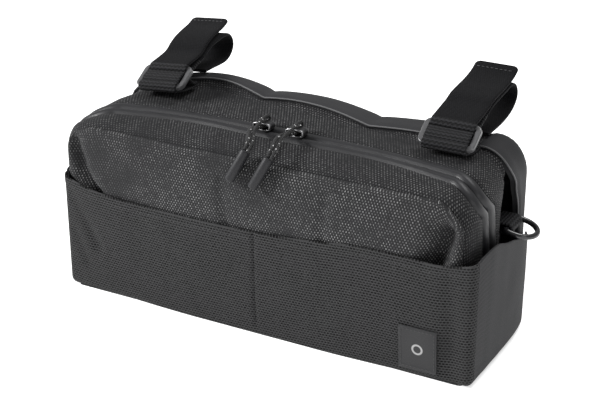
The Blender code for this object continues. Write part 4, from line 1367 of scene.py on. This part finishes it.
def make_pull(name, x, top, foot, mats):
    """A slider, the doubled cord through it and the rubber tube on the cord's ends."""
    window = make_slider(name, x, mats)
    top, foot = Vector(top), Vector(foot)
    down = (foot - top).normalized()
    beside = Vector((1, 0, 0)) - down * down.x
    beside = beside.normalized() * (PULL_CORD * CORD_SPREAD)
    lift = Vector((0, 0, 1))
    start = top + down * CORD_IN_TUBE
    rise = top - down * CORD_RISE
    front = window + Vector((0, -SLIDER_WIDE / 2 - PULL_CORD, PULL_CORD * 0.25))
    back = window + Vector((0, SLIDER_WIDE / 2 + PULL_CORD * 0.9, PULL_CORD * 0.2))
    through = Vector((0, SLIDER_WIDE / 2, 0))
    above = lift * (SLIDER_TALL / 2 + PULL_CORD / 2 + 2 * GAP)
    over = (start + front + above) / 2 + lift * CORD_ARCH
    near = [start - beside, rise - beside, over - beside, front]
    loop = [window - through, window + through, back, back + above * 0.8, window + above]
    far = [front + above + beside, over + beside, rise + beside, start + beside]
    piece = tube("pull_cord_braid_" + name, curve_through(near + loop + far, 8), PULL_CORD / 2,
                 mats["cord"], 16)
    dress(piece, "pull_cord_" + name)

    sides, radius = 32, PULL_TUBE / 2
    rings = [(0.030, 0.44), (0.0, 0.50), (0.0, 0.74), (0.010, 0.86), (0.03, 0.95), (0.07, 1.0), (0.5, 1.0),
             (0.93, 1.0), (0.965, 0.95), (0.985, 0.84), (0.997, 0.62), (1.0, 0.30)]
    turn = Vector((0, 0, -1)).rotation_difference(down).to_matrix()
    points = []
    for along, share in rings:
        for i in range(sides):
            swing = 2 * pi * i / sides
            ring = Vector((radius * share * cos(swing), radius * share * sin(swing), -along * PULL_TUBE_LONG))
            points.append(top + turn @ ring)
    faces = [(r * sides + i, (r + 1) * sides + i,
              (r + 1) * sides + (i + 1) % sides, r * sides + (i + 1) % sides)
             for r in range(len(rings) - 1) for i in range(sides)]
    faces += [tuple(range(sides)), tuple(reversed(range((len(rings) - 1) * sides, len(rings) * sides)))]
    piece = make_object("pull_tube_" + name, points, faces, mats["rubber"], None, 50)
    dress(piece, "pull_end_" + name)


def make_materials():
    return {
        "weave": dobby_weave("dobby_weave", (0.016, 0.016, 0.017), (0.27, 0.27, 0.27)),
        # The gussets' weave is the front panel's cloth made darker: painted shade on the top gussets.
        "weave_painted_shade": dobby_weave("dobby_weave_painted_shade", (0.010, 0.010, 0.011), (0.17, 0.17, 0.17)),
        "mesh": stretch_mesh("stretch_mesh", (0.044, 0.044, 0.045), (0.0, 0.0, 0.0)),
        "side": fine_twill("side_twill", (0.030, 0.030, 0.032)),
        "tape": coated_tape("coated_tape", (0.024, 0.024, 0.026)),
        "panel": matt_panel("matt_panel", (0.024, 0.024, 0.026)),
        # The back panel's edge binding is coloured lighter than the panel: a painted highlight along the
        # edge.
        "binding": thread("edge_binding", (0.100, 0.100, 0.103)),
        "thread": thread("sewing_thread", (0.060, 0.060, 0.062)),
        "webbing": ribbed_webbing("ribbed_webbing", (0.010, 0.010, 0.011)),
        "loop": loop_strap("loop_strap", (0.005, 0.005, 0.006)),
        # Buckles: black plastic given a grey colour, a painted highlight on their bars.
        "plastic": moulded("moulded_plastic", (0.080, 0.080, 0.083)),
        "gloss": moulded("gloss_plastic", (0.012, 0.012, 0.013), 0.20),
        "cord": fleck_cord("fleck_cord", (0.012, 0.012, 0.013), (0.65, 0.65, 0.65)),
        "rubber": pull_rubber("pull_rubber", (0.016, 0.016, 0.018)),
        "metal": dark_metal("dark_metal", (0.060, 0.060, 0.063)),
        "label": label_cloth("label_cloth", (0.010, 0.010, 0.011), (0.45, 0.45, 0.45)),
    }


def make_camera():
    across = Vector((cos(CAMERA_AZIMUTH), sin(CAMERA_AZIMUTH), 0))
    ahead = Vector((-sin(CAMERA_AZIMUTH) * cos(CAMERA_ELEVATION),
                    cos(CAMERA_AZIMUTH) * cos(CAMERA_ELEVATION), -sin(CAMERA_ELEVATION)))
    up = across.cross(ahead)
    data = bpy.data.cameras.new("camera")
    data.sensor_fit = "HORIZONTAL"
    data.sensor_width = CAMERA_SENSOR
    data.lens = CAMERA_LENS
    camera = bpy.data.objects.new("camera", data)
    turn = Matrix((across, up, -ahead)).transposed().to_4x4()
    camera.matrix_world = Matrix.Translation(CAMERA_TARGET - ahead * CAMERA_DISTANCE) @ turn
    bpy.context.scene.collection.objects.link(camera)
    bpy.context.scene.camera = camera


def area_light(name, place, aim, size, power):
    data = bpy.data.lights.new(name, "AREA")
    data.shape = "RECTANGLE"
    data.size, data.size_y = size
    data.energy = power
    light = bpy.data.objects.new(name, data)
    light.location = place
    light.rotation_euler = (Vector(aim) - Vector(place)).to_track_quat("-Z", "Y").to_euler()
    bpy.context.scene.collection.objects.link(light)


def make_studio():
    """A pale floor under plain soft light."""
    size = 6.0
    corners = [(-size, -size, 0), (size, -size, 0), (size, size, 0), (-size, size, 0)]
    floor = make_object("studio_floor", corners, [(0, 1, 2, 3)], studio_floor("studio_floor"))
    middle = (0, 0, 0.05)
    area_light("key_light", (-1.35, -0.80, 1.00), middle, (0.6, 0.6), 38)
    area_light("fill_light", (1.5, -0.9, 0.7), middle, (0.8, 0.6), 5)
    area_light("top_light", (0.3, 0.7, 1.9), middle, (0.9, 0.9), 22)
    world = bpy.data.worlds.new("studio_world")
    world.use_nodes = True
    world.node_tree.nodes["Background"].inputs["Color"].default_value = (1.0, 1.0, 1.0, 1.0)
    world.node_tree.nodes["Background"].inputs["Strength"].default_value = 0.34
    bpy.context.scene.world = world
    bpy.context.scene.view_settings.view_transform = "Standard"


def main():
    make_camera()
    make_studio()
    mats = make_materials()
    q_list = stations(90, 24, 44)
    make_base(mats)
    make_front_panel(mats)
    make_front_gusset(mats, q_list)
    make_zip(mats, q_list)
    make_back_gusset(mats, q_list)
    make_back_panel(mats)
    make_back_trim(mats)
    make_front_pocket(mats)
    make_side_pocket("pocket_left", -1, mats)
    make_side_pocket("pocket_right", 1, mats)
    make_label(mats)
    make_strap_set("right", 1, 0.0, (0.0093, 0.1189), radians(34),
                   STRAP_RIGHT_UNDER, STRAP_RIGHT_OVER, 0.0, mats)
    make_strap_set("left", -1, 0.10, (0.0125, 0.1195), radians(31),
                   STRAP_LEFT_UNDER, STRAP_LEFT_OVER, 0.007, mats)
    make_ring("left", -1, mats)
    make_ring("right", 1, mats)
    for name, x, top, foot in PULLS:
        make_pull(name, x, top, foot, mats)


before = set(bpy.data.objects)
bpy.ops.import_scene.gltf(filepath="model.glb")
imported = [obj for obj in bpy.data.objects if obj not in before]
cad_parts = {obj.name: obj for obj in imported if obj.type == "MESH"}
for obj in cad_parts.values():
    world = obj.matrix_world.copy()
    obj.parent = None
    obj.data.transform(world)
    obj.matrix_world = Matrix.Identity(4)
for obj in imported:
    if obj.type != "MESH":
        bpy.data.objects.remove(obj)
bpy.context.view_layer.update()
main()
